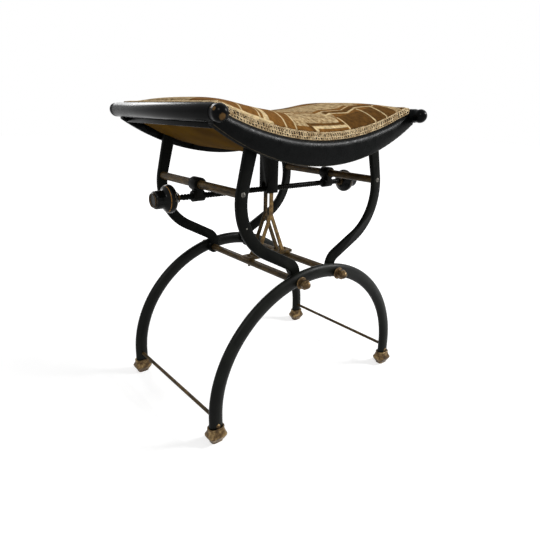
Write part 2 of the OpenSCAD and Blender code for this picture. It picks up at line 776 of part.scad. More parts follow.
// Section of a rail, d deep along X, at its place along Y. This form has the rounded
// outer edge and the ledge for the board at X = 0.
module rail_top_section(d) {
    steps = 6;
    difference() {
        polygon(concat([[0, rail_in_y], [d, rail_in_y], [d, rail_face_y]],
            [for (i = [0 : steps]) let (a = 90 * i / steps) [rail_round_h * (1 - sin(a)),
                rail_face_y - rail_round_w * (1 - cos(a))]]));
        translate([-over, rail_in_y - over])
            square([board_t + over + joint_gap, ledge_w + over]);
    }
}

// The same with plain top and the eased outer edge at X = d
module rail_foot_section(d) {
    difference() {
        translate([0, rail_in_y]) square([d, rail_t]);
        translate([d - rail_edge_r, rail_face_y - rail_edge_r])
            square([rail_edge_r, rail_edge_r + over]);
    }
    translate([d - rail_edge_r, rail_face_y - rail_edge_r]) circle(rail_edge_r);
}

module end_roll(s) {
    end_y = rail_face_y + roll_past;
    color("#252624") {
        along_y(s * roll_x, roll_z, -end_y, end_y, roll_d);
        along_y(s * roll_x, roll_z, -roll_ball_y, roll_ball_y, roll_neck_d);
        for (sy = [-1, 1]) translate([s * roll_x, sy * roll_ball_y, roll_z])
            sphere(d = roll_ball_d);
    }
}

module end_batten(s) {
    color("#2a2a27") scale([s, 1, 1]) translate([batten_in_x, -rail_in_y, batten_z])
        cube([batten_w, 2 * rail_in_y, batten_h]);
}

// Band of half-width h along the slot's path, between turns t0 and t1, with round ends
module slot_band(h, t0, t1) {
    steps = 14;
    turns = [for (i = [0 : steps]) t0 + (t1 - t0) * i / steps];
    polygon(concat(
        [for (t = turns) slot_at(t) + h * slot_side(t)],
        [for (i = [steps : -1 : 0]) slot_at(turns[i]) - h * slot_side(turns[i])]));
    for (t = [t0, t1]) translate(slot_at(t)) circle(h);
}

module track_plates(side) {
    slot_h = track_pin_d / 2 + slot_clear;
    color("#181817") scale([1, side, 1]) for (m = [0, 1]) mirror([m, 0, 0])
        translate([0, rail_in_y, 0]) upright() linear_extrude(plate_t) difference() {
            slot_band(slot_h + plate_rim, turn_out, turn_in);
            slot_band(slot_h, turn_out - slot_extra_a, turn_in + slot_extra_a);
        }
}

// Curved board that closes the seat between the rails and the rolls
module seat_board() {
    color("#6e5636") difference() {
        intersection() {
            seat_sweep(rail_top_c, seat_half_a) translate([rail_top_r, -board_y])
                square([board_t, 2 * board_y]);
            translate([-roll_x, -rail_face_y, rail_bottom_z])
                cube([roll_gap, 2 * rail_face_y, roll_z]);
        }
        for (s = [-1, 1]) along_y(s * roll_x, roll_z, -rail_face_y, rail_face_y,
            roll_d + 2 * joint_gap);
    }
}

module seat_lining() {
    lining_r = rail_bottom_r - lining_rise;
    lining_y = rail_in_y - lining_gap;
    color("#8b7135") difference() {
        intersection() {
            seat_sweep(rail_bottom_c, seat_half_a) translate([lining_r - lining_t, -lining_y])
                square([lining_t, 2 * lining_y]);
            translate([-batten_in_x, -rail_face_y, rail_bottom_z])
                cube([2 * batten_in_x, 2 * rail_face_y, roll_z]);
        }
        translate([-box_w / 2 - joint_gap, -box_dep / 2 - joint_gap, rail_bottom_z])
            cube([box_w + 2 * joint_gap, box_dep + 2 * joint_gap, roll_z]);
    }
}

// Sheet-metal box under the seat that the fork stems run in. The spindle passes through
// a slot in each side, open at the bottom.
module guide_box() {
    flange_z = board_under_z - box_flange_t;
    slot_w = spindle_d + 4 * slide_fit;
    low_spindle_z = spindle_z + slot_top_gain;
    color("#171716") difference() {
        union() {
            translate([-box_w / 2, -box_dep / 2, box_bottom_z])
                cube([box_w, box_dep, board_under_z - box_bottom_z]);
            translate([-box_flange_w / 2, -box_flange_w / 2, flange_z])
                cube([box_flange_w, box_flange_w, box_flange_t]);
        }
        translate([-box_w / 2 + box_wall, -box_dep / 2 + box_wall, box_bottom_z - over])
            cube([box_w - 2 * box_wall, box_dep - 2 * box_wall,
                flange_z - box_bottom_z + over]);
        translate([-box_w, -slot_w / 2, box_bottom_z - over])
            cube([2 * box_w, slot_w, low_spindle_z - box_bottom_z + over]);
        along_x(0, low_spindle_z, -box_w, box_w, slot_w);
    }
}

// Upholstery

// Stuffed pad: sole, drawn-in sides and crowned top in one closed skin of triangles.
// The points run in rows from end to end: the top's rows first, then the waist's two
// lines and the sole's two lines.
module seat_pad() {
    row = pad_ny + 1;
    w0 = (pad_nx + 1) * row;
    s0 = w0 + 2 * (pad_nx + 1);
    e = 2 * pad_nx;
    xs = [for (i = [0 : pad_nx]) -pad_x + 2 * pad_x * i / pad_nx];
    ys = [for (j = [0 : pad_ny]) -pad_y * cos(180 * j / pad_ny)];
    top = [for (x = xs, y = ys) [x, y, pad_top(x, y)]];
    waist = [for (x = xs, s = [-1, 1]) [x, s * (pad_y - pad_draw), sole_z(x) + braid_h / 2]];
    sole = [for (x = xs, s = [-1, 1]) [x, s * pad_y, sole_z(x)]];
    top_faces = [for (i = [0 : pad_nx - 1], j = [0 : pad_ny - 1]) let (a = i * row + j) each [
        [a, a + 1, a + row + 1], [a, a + row + 1, a + row]]];
    side_faces = [for (i = [0 : pad_nx - 1]) let (t = i * row, w = w0 + 2 * i, s = s0 + 2 * i)
        each [
            [t, t + row, w + 2], [t, w + 2, w], [w, w + 2, s + 2], [w, s + 2, s],
            [t + row + pad_ny, t + pad_ny, w + 1], [t + row + pad_ny, w + 1, w + 3],
            [w + 3, w + 1, s + 1], [w + 3, s + 1, s + 3], [s, s + 2, s + 3], [s, s + 3, s + 1]]];
    left_end = concat([for (j = [0 : pad_ny - 1]) [w0, j + 1, j]], [
        [w0, w0 + 1, pad_ny], [s0, w0 + 1, w0], [s0, s0 + 1, w0 + 1]]);
    right_end = concat([for (j = [0 : pad_ny - 1]) let (a = pad_nx * row + j) [w0 + e, a, a + 1]], [
        [w0 + e, s0 - 2 * (pad_nx + 1) - 1, w0 + e + 1],
        [s0 + e, w0 + e, w0 + e + 1], [s0 + e, w0 + e + 1, s0 + e + 1]]);
    color("#a07a42") polyhedron(concat(top, waist, sole),
        concat(top_faces, side_faces, left_end, right_end));
}

// Strips of braid round the foot of the pad: two along the rails and two along the rolls
module gimp_braid() {
    end_x = pad_x + braid_t;
    color("#c9b48a") {
        for (side = [-1, 1]) scale([1, side, 1]) intersection() {
            seat_sweep(rail_top_c, seat_half_a) translate([rail_top_r - braid_h, -pad_y - braid_t])
                square([braid_h, braid_t]);
            translate([-end_x, -rail_face_y, rail_bottom_z])
                cube([2 * end_x, 2 * rail_face_y, roll_z]);
        }
        for (side = [-1, 1]) scale([side, 1, 1]) translate([pad_x, -pad_y, sole_z(end_x)])
            cube([braid_t, 2 * pad_y, braid_h]);
    }
}

arch();  // arch_front
mirror([0, 1, 0]) arch();  // arch_rear
shoe_at(-1, -1);  // shoe_front_left
shoe_at(1, -1);  // shoe_front_right
shoe_at(-1, 1);  // shoe_rear_left
shoe_at(1, 1);  // shoe_rear_right
shoe_screws();
stretcher(-1);  // stretcher_left
stretcher(1);  // stretcher_right
lower_rod(-1);  // lower_rod_left
lower_rod(1);  // lower_rod_right
finial_nuts(-1);  // finial_nuts_front
finial_nuts(1);  // finial_nuts_rear
crossbar();
crossbar_bolts();
color("#a98547") guide_fork(-1);  // guide_fork_front
color("#7a5d33") guide_fork(1);  // guide_fork_rear
leg(-1, -1);  // leg_front_left
leg(-1, 1);  // leg_rear_left
upper_rod_bar(-1);  // upper_rod_left
rod_sleeves(-1);  // rod_sleeves_left
leg_screws(-1);  // leg_screws_left
track_pins(-1);  // track_pins_left
leg(1, -1);  // leg_front_right
leg(1, 1);  // leg_rear_right
upper_rod_bar(1);  // upper_rod_right
rod_sleeves(1);  // rod_sleeves_right
leg_screws(1);  // leg_screws_right
track_pins(1);  // track_pins_right
screw_nut(-1);  // screw_nut_left
screw_nut(1);  // screw_nut_right
bearing_block();
spindle();
knob(-1);  // knob_left
knob(1);  // knob_right
collar(-1);  // collar_left
collar(1);  // collar_right
seat_rail(-1);  // seat_rail_front
seat_rail(1);  // seat_rail_rear
end_roll(-1);  // end_roll_left
end_roll(1);  // end_roll_right
end_batten(-1);  // end_batten_left
end_batten(1);  // end_batten_right
track_plates(-1);  // track_plates_front
track_plates(1);  // track_plates_rear
seat_board();
seat_pad();
gimp_braid();
seat_lining();
guide_box();
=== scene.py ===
import math
import random

import bmesh
import bpy
from mathutils import Matrix, Vector, kdtree


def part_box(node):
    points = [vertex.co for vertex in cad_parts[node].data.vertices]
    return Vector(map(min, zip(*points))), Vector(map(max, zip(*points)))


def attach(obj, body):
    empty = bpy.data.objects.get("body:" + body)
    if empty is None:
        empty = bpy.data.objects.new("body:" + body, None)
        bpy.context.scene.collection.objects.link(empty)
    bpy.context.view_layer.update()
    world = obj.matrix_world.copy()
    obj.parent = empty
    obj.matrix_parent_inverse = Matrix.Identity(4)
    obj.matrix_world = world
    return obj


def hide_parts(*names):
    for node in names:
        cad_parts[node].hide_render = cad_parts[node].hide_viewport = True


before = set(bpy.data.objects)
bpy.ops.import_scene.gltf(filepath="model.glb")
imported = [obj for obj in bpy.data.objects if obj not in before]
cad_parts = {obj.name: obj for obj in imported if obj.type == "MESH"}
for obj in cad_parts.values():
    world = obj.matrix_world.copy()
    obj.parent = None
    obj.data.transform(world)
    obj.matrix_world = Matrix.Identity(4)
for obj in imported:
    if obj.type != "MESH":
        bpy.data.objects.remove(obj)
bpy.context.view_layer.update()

# Camera. The photograph was taken from beyond the front left corner, level with the
# top of the seat and a little under a metre away, with a moderately wide lens.
mm = 0.001
camera = bpy.data.objects.new("camera", bpy.data.cameras.new("camera"))
camera_turn, camera_tip, camera_lean = 0.68853, 0.32701, 0.02222
camera.matrix_world = (
    Matrix.Translation((-0.58228, -0.71754, 0.53874))
    @ Matrix.Rotation(-camera_turn, 4, "Z")
    @ Matrix.Rotation(math.pi / 2 - camera_tip, 4, "X")
    @ Matrix.Rotation(camera_lean, 4, "Z"))
photo_width_px, focal_px = 540, 469.49
camera.data.sensor_width = 36
camera.data.lens = camera.data.sensor_width * focal_px / photo_width_px
camera.data.clip_start = 0.02
bpy.context.scene.collection.objects.link(camera)
bpy.context.scene.camera = camera

# Studio. A white room: a seamless white floor, an even white surround, and three
# cloth-fronted lamps. The main one stands beyond the front right corner, where it glints
# along the rounded black edges.
bpy.context.scene.view_settings.view_transform = "Standard"


def add(tree, kind, inputs=None, stops=(), **settings):
    """Adds a shader node with its settings and links.

    An input takes a value or another node's output, and stops are a colour ramp's places
    and colours in order.
    """
    made = tree.nodes.new("ShaderNode" + kind)
    for name, value in settings.items():
        setattr(made, name, value)
    for end in (0, -1) if stops else ():
        stop = made.color_ramp.elements[end]
        stop.position, stop.color = stops[end]
    for at, colour in stops[1:-1]:
        made.color_ramp.elements.new(at).color = colour
    for socket, value in (inputs or {}).items():
        if isinstance(value, bpy.types.NodeSocket):
            tree.links.new(value, made.inputs[socket])
        else:
            made.inputs[socket].default_value = value
    return made


def carries_white(tree):
    """1 for the rays that show the white room: the camera's, mirrored ones and glass's."""
    ray = add(tree, "LightPath")
    seen = add(tree, "Math", {0: ray.outputs["Is Camera Ray"],
                              1: ray.outputs["Is Glossy Ray"]})
    return add(tree, "Math", {0: seen.outputs[0], 1: ray.outputs["Is Transmission Ray"]},
               use_clamp=True).outputs[0]


world = bpy.data.worlds.new("white_room")
bpy.context.scene.world = world
world.use_nodes = True
tree = world.node_tree
tree.nodes.clear()
lit = add(tree, "Background", {"Color": (1, 1, 1, 1), "Strength": 0.28})
white = add(tree, "Background", {"Color": (1, 1, 1, 1), "Strength": 1.0})
both = add(tree, "MixShader", {0: carries_white(tree), 1: lit.outputs[0],
                               2: white.outputs[0]})
add(tree, "OutputWorld", {0: both.outputs[0]})

floor_half = 9
floor_mesh = bpy.data.meshes.new("floor")
bm = bmesh.new()
bmesh.ops.create_grid(bm, x_segments=1, y_segments=1, size=floor_half)
bm.to_mesh(floor_mesh)
bm.free()
floor = bpy.data.objects.new("floor", floor_mesh)
bpy.context.scene.collection.objects.link(floor)
floor_white = bpy.data.materials.new("white_paper_floor")
floor_white.use_nodes = True
tree = floor_white.node_tree
tree.nodes.clear()
# Near the stool the paper is left to show its shadow, and further off it fades to white
shadow_reach, white_from, least_glow = 0.35, 1.5, 0.62
spot = add(tree, "TexCoord")
away = add(tree, "VectorMath", {0: spot.outputs["Object"]}, operation="LENGTH")
fade = add(tree, "MapRange", {0: away.outputs["Value"], 1: shadow_reach, 2: white_from,
                              3: least_glow, 4: 1.0}, interpolation_type="SMOOTHSTEP")
shown = add(tree, "Math", {0: carries_white(tree), 1: fade.outputs[0]},
            operation="MULTIPLY")
paper = add(tree, "BsdfDiffuse", {"Color": (0.55, 0.55, 0.55, 1)})
glow = add(tree, "Emission", {"Color": (1, 1, 1, 1), "Strength": shown.outputs[0]})
both = add(tree, "AddShader", {0: paper.outputs[0], 1: glow.outputs[0]})
add(tree, "OutputMaterial", {0: both.outputs[0]})
floor_mesh.materials.append(floor_white)

stool_middle = Vector((0, 0, 0.33))
for name, place, size, power in (
        ("key_lamp", (1.5, -1.0, 1.4), 0.5, 42),
        ("left_lamp", (-1.5, -1.3, 2.0), 0.6, 18),
        ("rear_lamp", (0.2, 2.0, 1.4), 0.8, 13)):
    lamp = bpy.data.lights.new(name, "AREA")
    lamp.size, lamp.energy = size, power
    hung = bpy.data.objects.new(name, lamp)
    away = Vector(place) - stool_middle
    hung.matrix_world = (
        Matrix.Translation(place) @ away.to_track_quat("Z", "Y").to_matrix().to_4x4())
    bpy.context.scene.collection.objects.link(hung)

# Arches. Two half hoops of oval wrought bar, forged, filed smooth and japanned black.
# The enamel has a faint grey bloom and is chipped here and there to brown iron.


def hue(code):
    """Linear colour of an sRGB hex value."""
    parts = [int(code[i:i + 2], 16) / 255 for i in (1, 3, 5)]
    return (*[p / 12.92 if p <= 0.04045 else ((p + 0.055) / 1.055) ** 2.4
              for p in parts], 1)


def begin(name):
    """A new finish: its node tree, its surface shader and the place on the object."""
    made = bpy.data.materials.new(name)
    made.use_nodes = True
    made.node_tree.nodes.clear()
    surface = add(made.node_tree, "BsdfPrincipled")
    add(made.node_tree, "OutputMaterial", {0: surface.outputs[0]})
    return made, made.node_tree, surface, add(made.node_tree, "TexCoord").outputs["Object"]


def weathered(name, coat, pale, worn, cloud, chips, gloss, grain, grain_depth, spots=()):
    """An old hard coat: two shades in clouds, chips down to what is under it, and a grain.

    cloud and grain are sizes in metres, chips is the share that is worn through, gloss is
    the roughness from smooth to chalky, and spots are places rubbed by use: their centre
    and reach in millimetres.
    """
    made, tree, surface, place = begin(name)
    clouds = add(tree, "TexNoise", {"Vector": place, "Scale": 1 / cloud, "Detail": 5.0})
    shade = add(tree, "MapRange", {0: clouds.outputs[0], 1: 0.35, 2: 0.7})
    colour = add(tree, "Mix", {0: shade.outputs[0], 6: hue(coat), 7: hue(pale)},
                 data_type="RGBA")
    flaking = add(tree, "TexNoise", {"Vector": place, "Scale": 1 / (9 * grain),
                                     "Detail": 8.0, "Roughness": 0.62})
    bare = add(tree, "MapRange", {0: flaking.outputs[0], 1: 0.74 - chips, 2: 0.8 - chips})
    wear = bare.outputs[0]
    for spot in spots:
        near = add(tree, "VectorMath", {0: place, 1: Vector(spot[:3]) * mm},
                   operation="DISTANCE")
        rough_edge = add(tree, "Math", {0: flaking.outputs[0], 1: -1.6 * spot[3] * mm,
                                        2: near.outputs["Value"]}, operation="MULTIPLY_ADD")
        rubbed = add(tree, "MapRange", {0: rough_edge.outputs[0], 1: 0.3 * spot[3] * mm,
                                        2: -0.1 * spot[3] * mm})
        wear = add(tree, "Math", {0: wear, 1: rubbed.outputs[0]},
                   operation="MAXIMUM").outputs[0]
    colour = add(tree, "Mix", {0: wear, 6: colour.outputs[2], 7: hue(worn)},
                 data_type="RGBA")
    tree.links.new(colour.outputs[2], surface.inputs["Base Color"])
    dull = add(tree, "MapRange", {0: clouds.outputs[0], 1: 0.3, 2: 0.7,
                                  3: gloss[0], 4: gloss[1]})
    tree.links.new(dull.outputs[0], surface.inputs["Roughness"])
    pits = add(tree, "TexNoise", {"Vector": place, "Scale": 1 / grain, "Detail": 3.0})
    relief = add(tree, "Math", {0: wear, 1: -0.6, 2: pits.outputs[0]},
                 operation="MULTIPLY_ADD")
    bump = add(tree, "Bump", {"Height": relief.outputs[0], "Distance": grain_depth,
                              "Strength": 1.0})
    tree.links.new(bump.outputs[0], surface.inputs["Normal"])
    return made, surface


def show(name, mesh, finish, body, smooth_below=38):
    """Puts a finished mesh in the scene as a piece that rides on a body."""
    made = bpy.data.objects.new(name, mesh)
    bpy.context.scene.collection.objects.link(made)
    mesh.materials.clear()
    mesh.materials.append(finish)
    mesh.shade_smooth()
    mesh.set_sharp_from_angle(angle=math.radians(smooth_below))
    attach(made, body)
    return made


def drop_old_normals(mesh):
    """Drops a CAD mesh's own shading directions, which don't fit its changed faces."""
    if "custom_normal" in mesh.attributes:
        mesh.attributes.remove(mesh.attributes["custom_normal"])


def dress(node, name, finish, body, ease=0.0, smooth_below=38):
    """A copy of a CAD solid, its triangles joined and its edges eased by ease metres."""
    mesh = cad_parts[node].data.copy()
    bm = bmesh.new()
    bm.from_mesh(mesh)
    bmesh.ops.remove_doubles(bm, verts=bm.verts, dist=0.01 * mm)
    bmesh.ops.dissolve_limit(bm, angle_limit=math.radians(0.4), verts=bm.verts,
                             edges=bm.edges)
    if ease:
        sharp = [e for e in bm.edges if e.is_manifold
                 and e.calc_face_angle() > math.radians(40)]
        bmesh.ops.bevel(bm, geom=sharp, offset=ease, offset_type="OFFSET", segments=2,
                        profile=0.5, affect="EDGES", clamp_overlap=True, material=-1)
    bm.to_mesh(mesh)
    bm.free()
    drop_old_normals(mesh)
    made = show(name, mesh, finish, body, smooth_below)
    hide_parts(node)
    return made


# Japanned wrought iron: near-black enamel baked on, with a soft gloss
japanned_iron, surface = weathered(
    "japanned_wrought_iron", coat="#060705", pale="#131511", worn="#4b463a",
    cloud=30 * mm, chips=0.035, gloss=(0.32, 0.5), grain=1.4 * mm, grain_depth=0.12 * mm)
surface.inputs["Specular IOR Level"].default_value = 0.1
for end in ("front", "rear"):
    dress(f"arch_{end}", f"hoop_{end}", japanned_iron, "base")

# Shoes. Cast brass sockets on the four feet: oval at the beaded rim, swelling to a blunt
# square with soft corners and drawn in again to a small sole. One slotted brass screw
# through the bar holds each.

# Aged brass: cast and filed, brown with tarnish, yellow where it is rubbed
aged_brass, tree, surface, place = begin("aged_cast_brass")
tarnish = add(tree, "TexNoise", {"Vector": place, "Scale": 1 / (11 * mm), "Detail": 6.0,
                                 "Roughness": 0.6})
ramp = add(tree, "ValToRGB", {0: tarnish.outputs[0]},
           stops=((0.34, hue("#33271a")), (0.5, hue("#58452c")), (0.66, hue("#8b7550"))))
tree.links.new(ramp.outputs[0], surface.inputs["Base Color"])
dull = add(tree, "MapRange", {0: tarnish.outputs[0], 1: 0.3, 2: 0.7, 3: 0.55, 4: 0.34})
tree.links.new(dull.outputs[0], surface.inputs["Roughness"])
file_marks = add(tree, "TexNoise", {"Vector": place, "Scale": 1 / (1.3 * mm),
                                    "Detail": 4.0})
bump = add(tree, "Bump", {"Height": file_marks.outputs[0], "Distance": 0.16 * mm})
tree.links.new(bump.outputs[0], surface.inputs["Normal"])
surface.inputs["Metallic"].default_value = 0.85


def coat(finish, *nodes):
    """Gives a finish to CAD solids that are shown as they are."""
    for node in nodes:
        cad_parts[node].material_slots[0].material = finish


def finish_mesh(bm, name):
    """A mesh from a closed bmesh, with its faces turned outwards."""
    bmesh.ops.recalc_face_normals(bm, faces=bm.faces)
    mesh = bpy.data.meshes.new(name)
    bm.to_mesh(mesh)
    bm.free()
    return mesh


# Height, half length, half depth and corner radius of the shoe's outline, in millimetres
shoe_levels = (
    (0, 10.2, 7.0, 4.5), (0.7, 11, 7.8, 5), (2.7, 11.2, 8, 5), (3.5, 11.8, 8.6, 5.2),
    (8, 14.7, 11.4, 6.4), (12.3, 17.1, 13.8, 7.6), (13.3, 17.5, 14.25, 8),
    (14.7, 17.5, 14.25, 8), (15.7, 17, 13.6, 7.8), (19.5, 15.6, 11.8, 8),
    (23.5, 14.8, 10.4, 8.6), (26, 14.5, 9.9, 9.5), (26.5, 15.2, 10.5, 10.1),
    (27.6, 15.5, 10.8, 10.4), (28.6, 15.2, 10.5, 10.1), (29, 14.6, 9.9, 9.5),
    (28.9, 13.2, 8.5, 8.1), (27.4, 12.9, 8.2, 7.8))
corner_steps = 6
for corner in ("front_left", "front_right", "rear_left", "rear_right"):
    low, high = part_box(f"shoe_{corner}")
    middle = (low + high) / 2
    bm = bmesh.new()
    rings = []
    for z, half_x, half_y, r in shoe_levels:
        ring = []
        for quarter, (sx, sy) in enumerate(((1, 1), (-1, 1), (-1, -1), (1, -1))):
            for step in range(corner_steps + 1):
                a = math.radians(90 * (quarter + step / corner_steps))
                ring.append(bm.verts.new((
                    middle.x + (sx * (half_x - r) + r * math.cos(a)) * mm,
                    middle.y + (sy * (half_y - r) + r * math.sin(a)) * mm, z * mm)))
        rings.append(ring)
    loops = [[bm.edges.new((ring[k], ring[(k + 1) % len(ring)])) for k in range(len(ring))]
             for ring in rings]
    for lower, upper in zip(loops, loops[1:]):
        bmesh.ops.bridge_loops(bm, edges=lower + upper)
    for loop in (loops[0], loops[-1]):
        bmesh.ops.holes_fill(bm, edges=loop, sides=0)
    socket = show(f"socket_{corner}", finish_mesh(bm, f"socket_{corner}"), aged_brass,
                  "base", smooth_below=26)
    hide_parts(f"shoe_{corner}")
coat(aged_brass, "shoe_screws")

# Stretchers and lower rods. Round iron bar, once blacked, that has gone brown. The thin
# stretchers tie the feet, and the legs swing on the two thick rods.

# Browned iron: bare bar with an even brown skin of old rust and oil, streaked along it
browned_iron, tree, surface, place = begin("browned_iron")
along = add(tree, "Mapping", {0: place, 3: (1, 0.25, 1)})
streaks = add(tree, "TexNoise", {"Vector": along.outputs[0], "Scale": 1 / (5 * mm),
                                 "Detail": 6.0, "Roughness": 0.6})
ramp = add(tree, "ValToRGB", {0: streaks.outputs[0]},
           stops=((0.33, hue("#20180d")), (0.52, hue("#46371f")), (0.7, hue("#6e5733"))))
tree.links.new(ramp.outputs[0], surface.inputs["Base Color"])
surface.inputs["Specular IOR Level"].default_value = 0.12
surface.inputs["Roughness"].default_value = 0.46
bump = add(tree, "Bump", {"Height": streaks.outputs[0], "Distance": 0.2 * mm})
tree.links.new(bump.outputs[0], surface.inputs["Normal"])
coat(browned_iron, "stretcher_left", "stretcher_right", "lower_rod_left", "lower_rod_right")

# Finial nuts. Four brass nuts close the ends of the lower rods: a round flange, a hollow
# neck, a filed hexagon and a domed end.
for end in ("front", "rear"):
    dress(f"finial_nuts_{end}", f"dome_nuts_{end}", aged_brass, "base",
          ease=0.5 * mm, smooth_below=28)

# Crossbar and guide forks. A flat bar is bolted down on the two lower rods, and two flat
# brass forks stand on it, back to back, to keep the seat from turning. The rear one, which
# stands in the front one's shade, is given the bar's browned iron as painted shade.

# Rolled brass strip: duller than the castings, with an even brown film
brass_strip, tree, surface, place = begin("tarnished_brass_strip")
film = add(tree, "TexNoise", {"Vector": place, "Scale": 1 / (9 * mm), "Detail": 5.0})
ramp = add(tree, "ValToRGB", {0: film.outputs[0]},
           stops=((0.34, hue("#4a3618")), (0.68, hue("#8d7040"))))
tree.links.new(ramp.outputs[0], surface.inputs["Base Color"])
surface.inputs["Metallic"].default_value = 0.6
surface.inputs["Roughness"].default_value = 0.5
bump = add(tree, "Bump", {"Height": film.outputs[0], "Distance": 0.3 * mm})
tree.links.new(bump.outputs[0], surface.inputs["Normal"])
# The rear fork gets browned iron: painted shade, darker than the front one's brass
for end, finish in (("front", brass_strip), ("rear", browned_iron)):
    dress(f"guide_fork_{end}", f"forked_guide_{end}", finish, "base",
          ease=0.6 * mm)
dress("crossbar", "rod_tie", browned_iron, "base", ease=0.8 * mm)
coat(browned_iron, "crossbar_bolts")

# Legs. Four flat bars forged to an S, with an eye at the foot and a pin at the top. Their
# black japan has kept well; one pale fleck shows on the front left leg.

# Japanned flat bar: the same enamel as on the arches, whole and smooth, with less shine
leg_iron, surface = weathered(
    "japanned_flat_bar", coat="#080908", pale="#131411", worn="#8d8b82",
    cloud=24 * mm, chips=-0.02, gloss=(0.3, 0.46), grain=1.2 * mm, grain_depth=0.1 * mm,
    spots=[(-153.1, -136.7, 361.5, 1.6)])
surface.inputs["Specular IOR Level"].default_value = 0.035
for side in ("left", "right"):
    for end in ("front", "rear"):
        dress(f"leg_{end}_{side}", f"swing_leg_{end}_{side}", leg_iron, f"leg_{side}",
              smooth_below=50)

# Screws and pins. Bright steel gone grey: the slotted screws that hold the upper rods,
# and the shouldered pins that run in the seat's tracks.

# Greyed steel: turned bright and gone dull, in blotches of lighter and darker grey
grey_steel, tree, surface, place = begin("greyed_steel")
film = add(tree, "TexNoise", {"Vector": place, "Scale": 1 / (2.5 * mm), "Detail": 4.0})
ramp = add(tree, "ValToRGB", {0: film.outputs[0]},
           stops=((0.3, hue("#2b2a27")), (0.7, hue("#6b6962"))))
tree.links.new(ramp.outputs[0], surface.inputs["Base Color"])
surface.inputs["Metallic"].default_value = 0.7
surface.inputs["Roughness"].default_value = 0.42
bump = add(tree, "Bump", {"Height": film.outputs[0], "Distance": 0.1 * mm})
tree.links.new(bump.outputs[0], surface.inputs["Normal"])
coat(grey_steel, "leg_screws_left", "leg_screws_right", "track_pins_left",
     "track_pins_right")

# Upper rods and sleeves. Brown iron bars between each pair of legs; loose tube sleeves
# keep the nut in the middle of its rod.
coat(browned_iron, "upper_rod_left", "upper_rod_right", "rod_sleeves_left",
     "rod_sleeves_right")

# Screw nuts, bearing and spindle. Black iron nuts hang on the upper rods, and a long
# screw with a left-hand and a right-hand thread passes through both and turns in a
# bearing block between the forks.

# Oil-blacked iron: cast or cut, heated and oiled, so near black and brown where it wears
oiled_iron, surface = weathered(
    "oil_blacked_iron", coat="#070706", pale="#11100d", worn="#2c2116",
    cloud=16 * mm, chips=0.03, gloss=(0.3, 0.46), grain=1.2 * mm, grain_depth=0.15 * mm)
surface.inputs["Specular IOR Level"].default_value = 0.035
for side in ("left", "right"):
    dress(f"screw_nut_{side}", f"hanging_nut_{side}", oiled_iron, f"nut_{side}",
          ease=0.9 * mm)
dress("bearing_block", "middle_bearing", oiled_iron, "bearing", ease=0.6 * mm)


def turned(bm, outline, centre, axis, steps):
    """Turns an outline of (distance along the axis, radius) pairs into a closed shape."""
    axis = Vector(axis)
    side = axis.orthogonal().normalized()
    line = [bm.verts.new(Vector(centre) + axis * a + side * r) for a, r in outline]
    edges = [bm.edges.new(pair) for pair in zip(line, line[1:])]
    bmesh.ops.spin(bm, geom=line + edges, cent=centre, axis=axis, angle=2 * math.pi,
                   steps=steps, use_merge=True, use_duplicate=False)
    bmesh.ops.remove_doubles(bm, verts=bm.verts, dist=0.002 * mm)


spindle_low, spindle_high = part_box("spindle")
spindle_z = (spindle_low.z + spindle_high.z) / 2
spindle_end = spindle_high.x
crest_r, root_r, journal_r = 5.5 * mm, 4.5 * mm, 4.0 * mm
journal_x, pitch = 6.55 * mm, 6 * mm
thread_from, thread_to, steps_a_turn = 9 * mm, 196 * mm, 18
bm = bmesh.new()
turned(bm, [(-spindle_end, 0), (-spindle_end, root_r), (-journal_x, root_r),
            (-journal_x, journal_r), (journal_x, journal_r), (journal_x, root_r),
            (spindle_end, root_r), (spindle_end, 0)], (0, 0, spindle_z), (1, 0, 0), 32)
# Each thread is one ridge, wound outwards from the journal and sunk a little in the core
turns = (thread_to - thread_from - pitch) / pitch
steps = int(turns * steps_a_turn)
sunk_r = 0.9 * root_r
for sx in (-1, 1):
    ridge = [bm.verts.new((sx * (thread_from + a * pitch), 0, spindle_z + r))
             for a, r in ((0, sunk_r), (0.16, crest_r), (0.44, crest_r), (0.6, sunk_r))]
    face = bm.faces.new(ridge)
    bmesh.ops.spin(bm, geom=[face], cent=(0, 0, spindle_z), axis=(1, 0, 0),
                   dvec=(sx * turns * pitch / steps, 0, 0),
                   angle=turns * 2 * math.pi, steps=steps, use_duplicate=False)
screw = show("two_handed_screw", finish_mesh(bm, "two_handed_screw"), oiled_iron, "screw",
             smooth_below=40)
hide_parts("spindle")

# Knobs and collars. Ebonised turned handles at both ends of the screw: a hollow end face,
# a barrel grip and a wide flange, with a pinned iron collar behind each.


def rounded(outline, share=0.25):
    """The outline with each inner corner cut twice, so that it turns as a soft edge."""
    for _ in range(2):
        soft = [outline[0]]
        for a, b in zip(outline, outline[1:]):
            soft += [tuple(p + (q - p) * share for p, q in zip(a, b)),
                     tuple(q + (p - q) * share for p, q in zip(a, b))]
        outline = [soft[0]] + soft[2:-2] + [outline[-1]]
    return outline


# Ebonised beech, French polished: black stain under a hard glossy film, with pale golden,
# brown and grey rings on the step before the flange, on the flange's rim and round the
# hollow end
knob_tip_x = 247 * mm
polished_knob, tree, surface, place = begin("ebonised_french_polished_knob")
patchy = add(tree, "TexNoise", {"Vector": place, "Scale": 1 / (7 * mm), "Detail": 6.0})
wood = add(tree, "Mix", {0: patchy.outputs[0], 6: hue("#050606"), 7: hue("#0f1010")},
           data_type="RGBA").outputs[2]
along = add(tree, "SeparateXYZ", {0: place})
from_middle = add(tree, "Math", {0: along.outputs[0]}, operation="ABSOLUTE")
depth = add(tree, "Math", {0: knob_tip_x, 1: from_middle.outputs[0]}, operation="SUBTRACT")
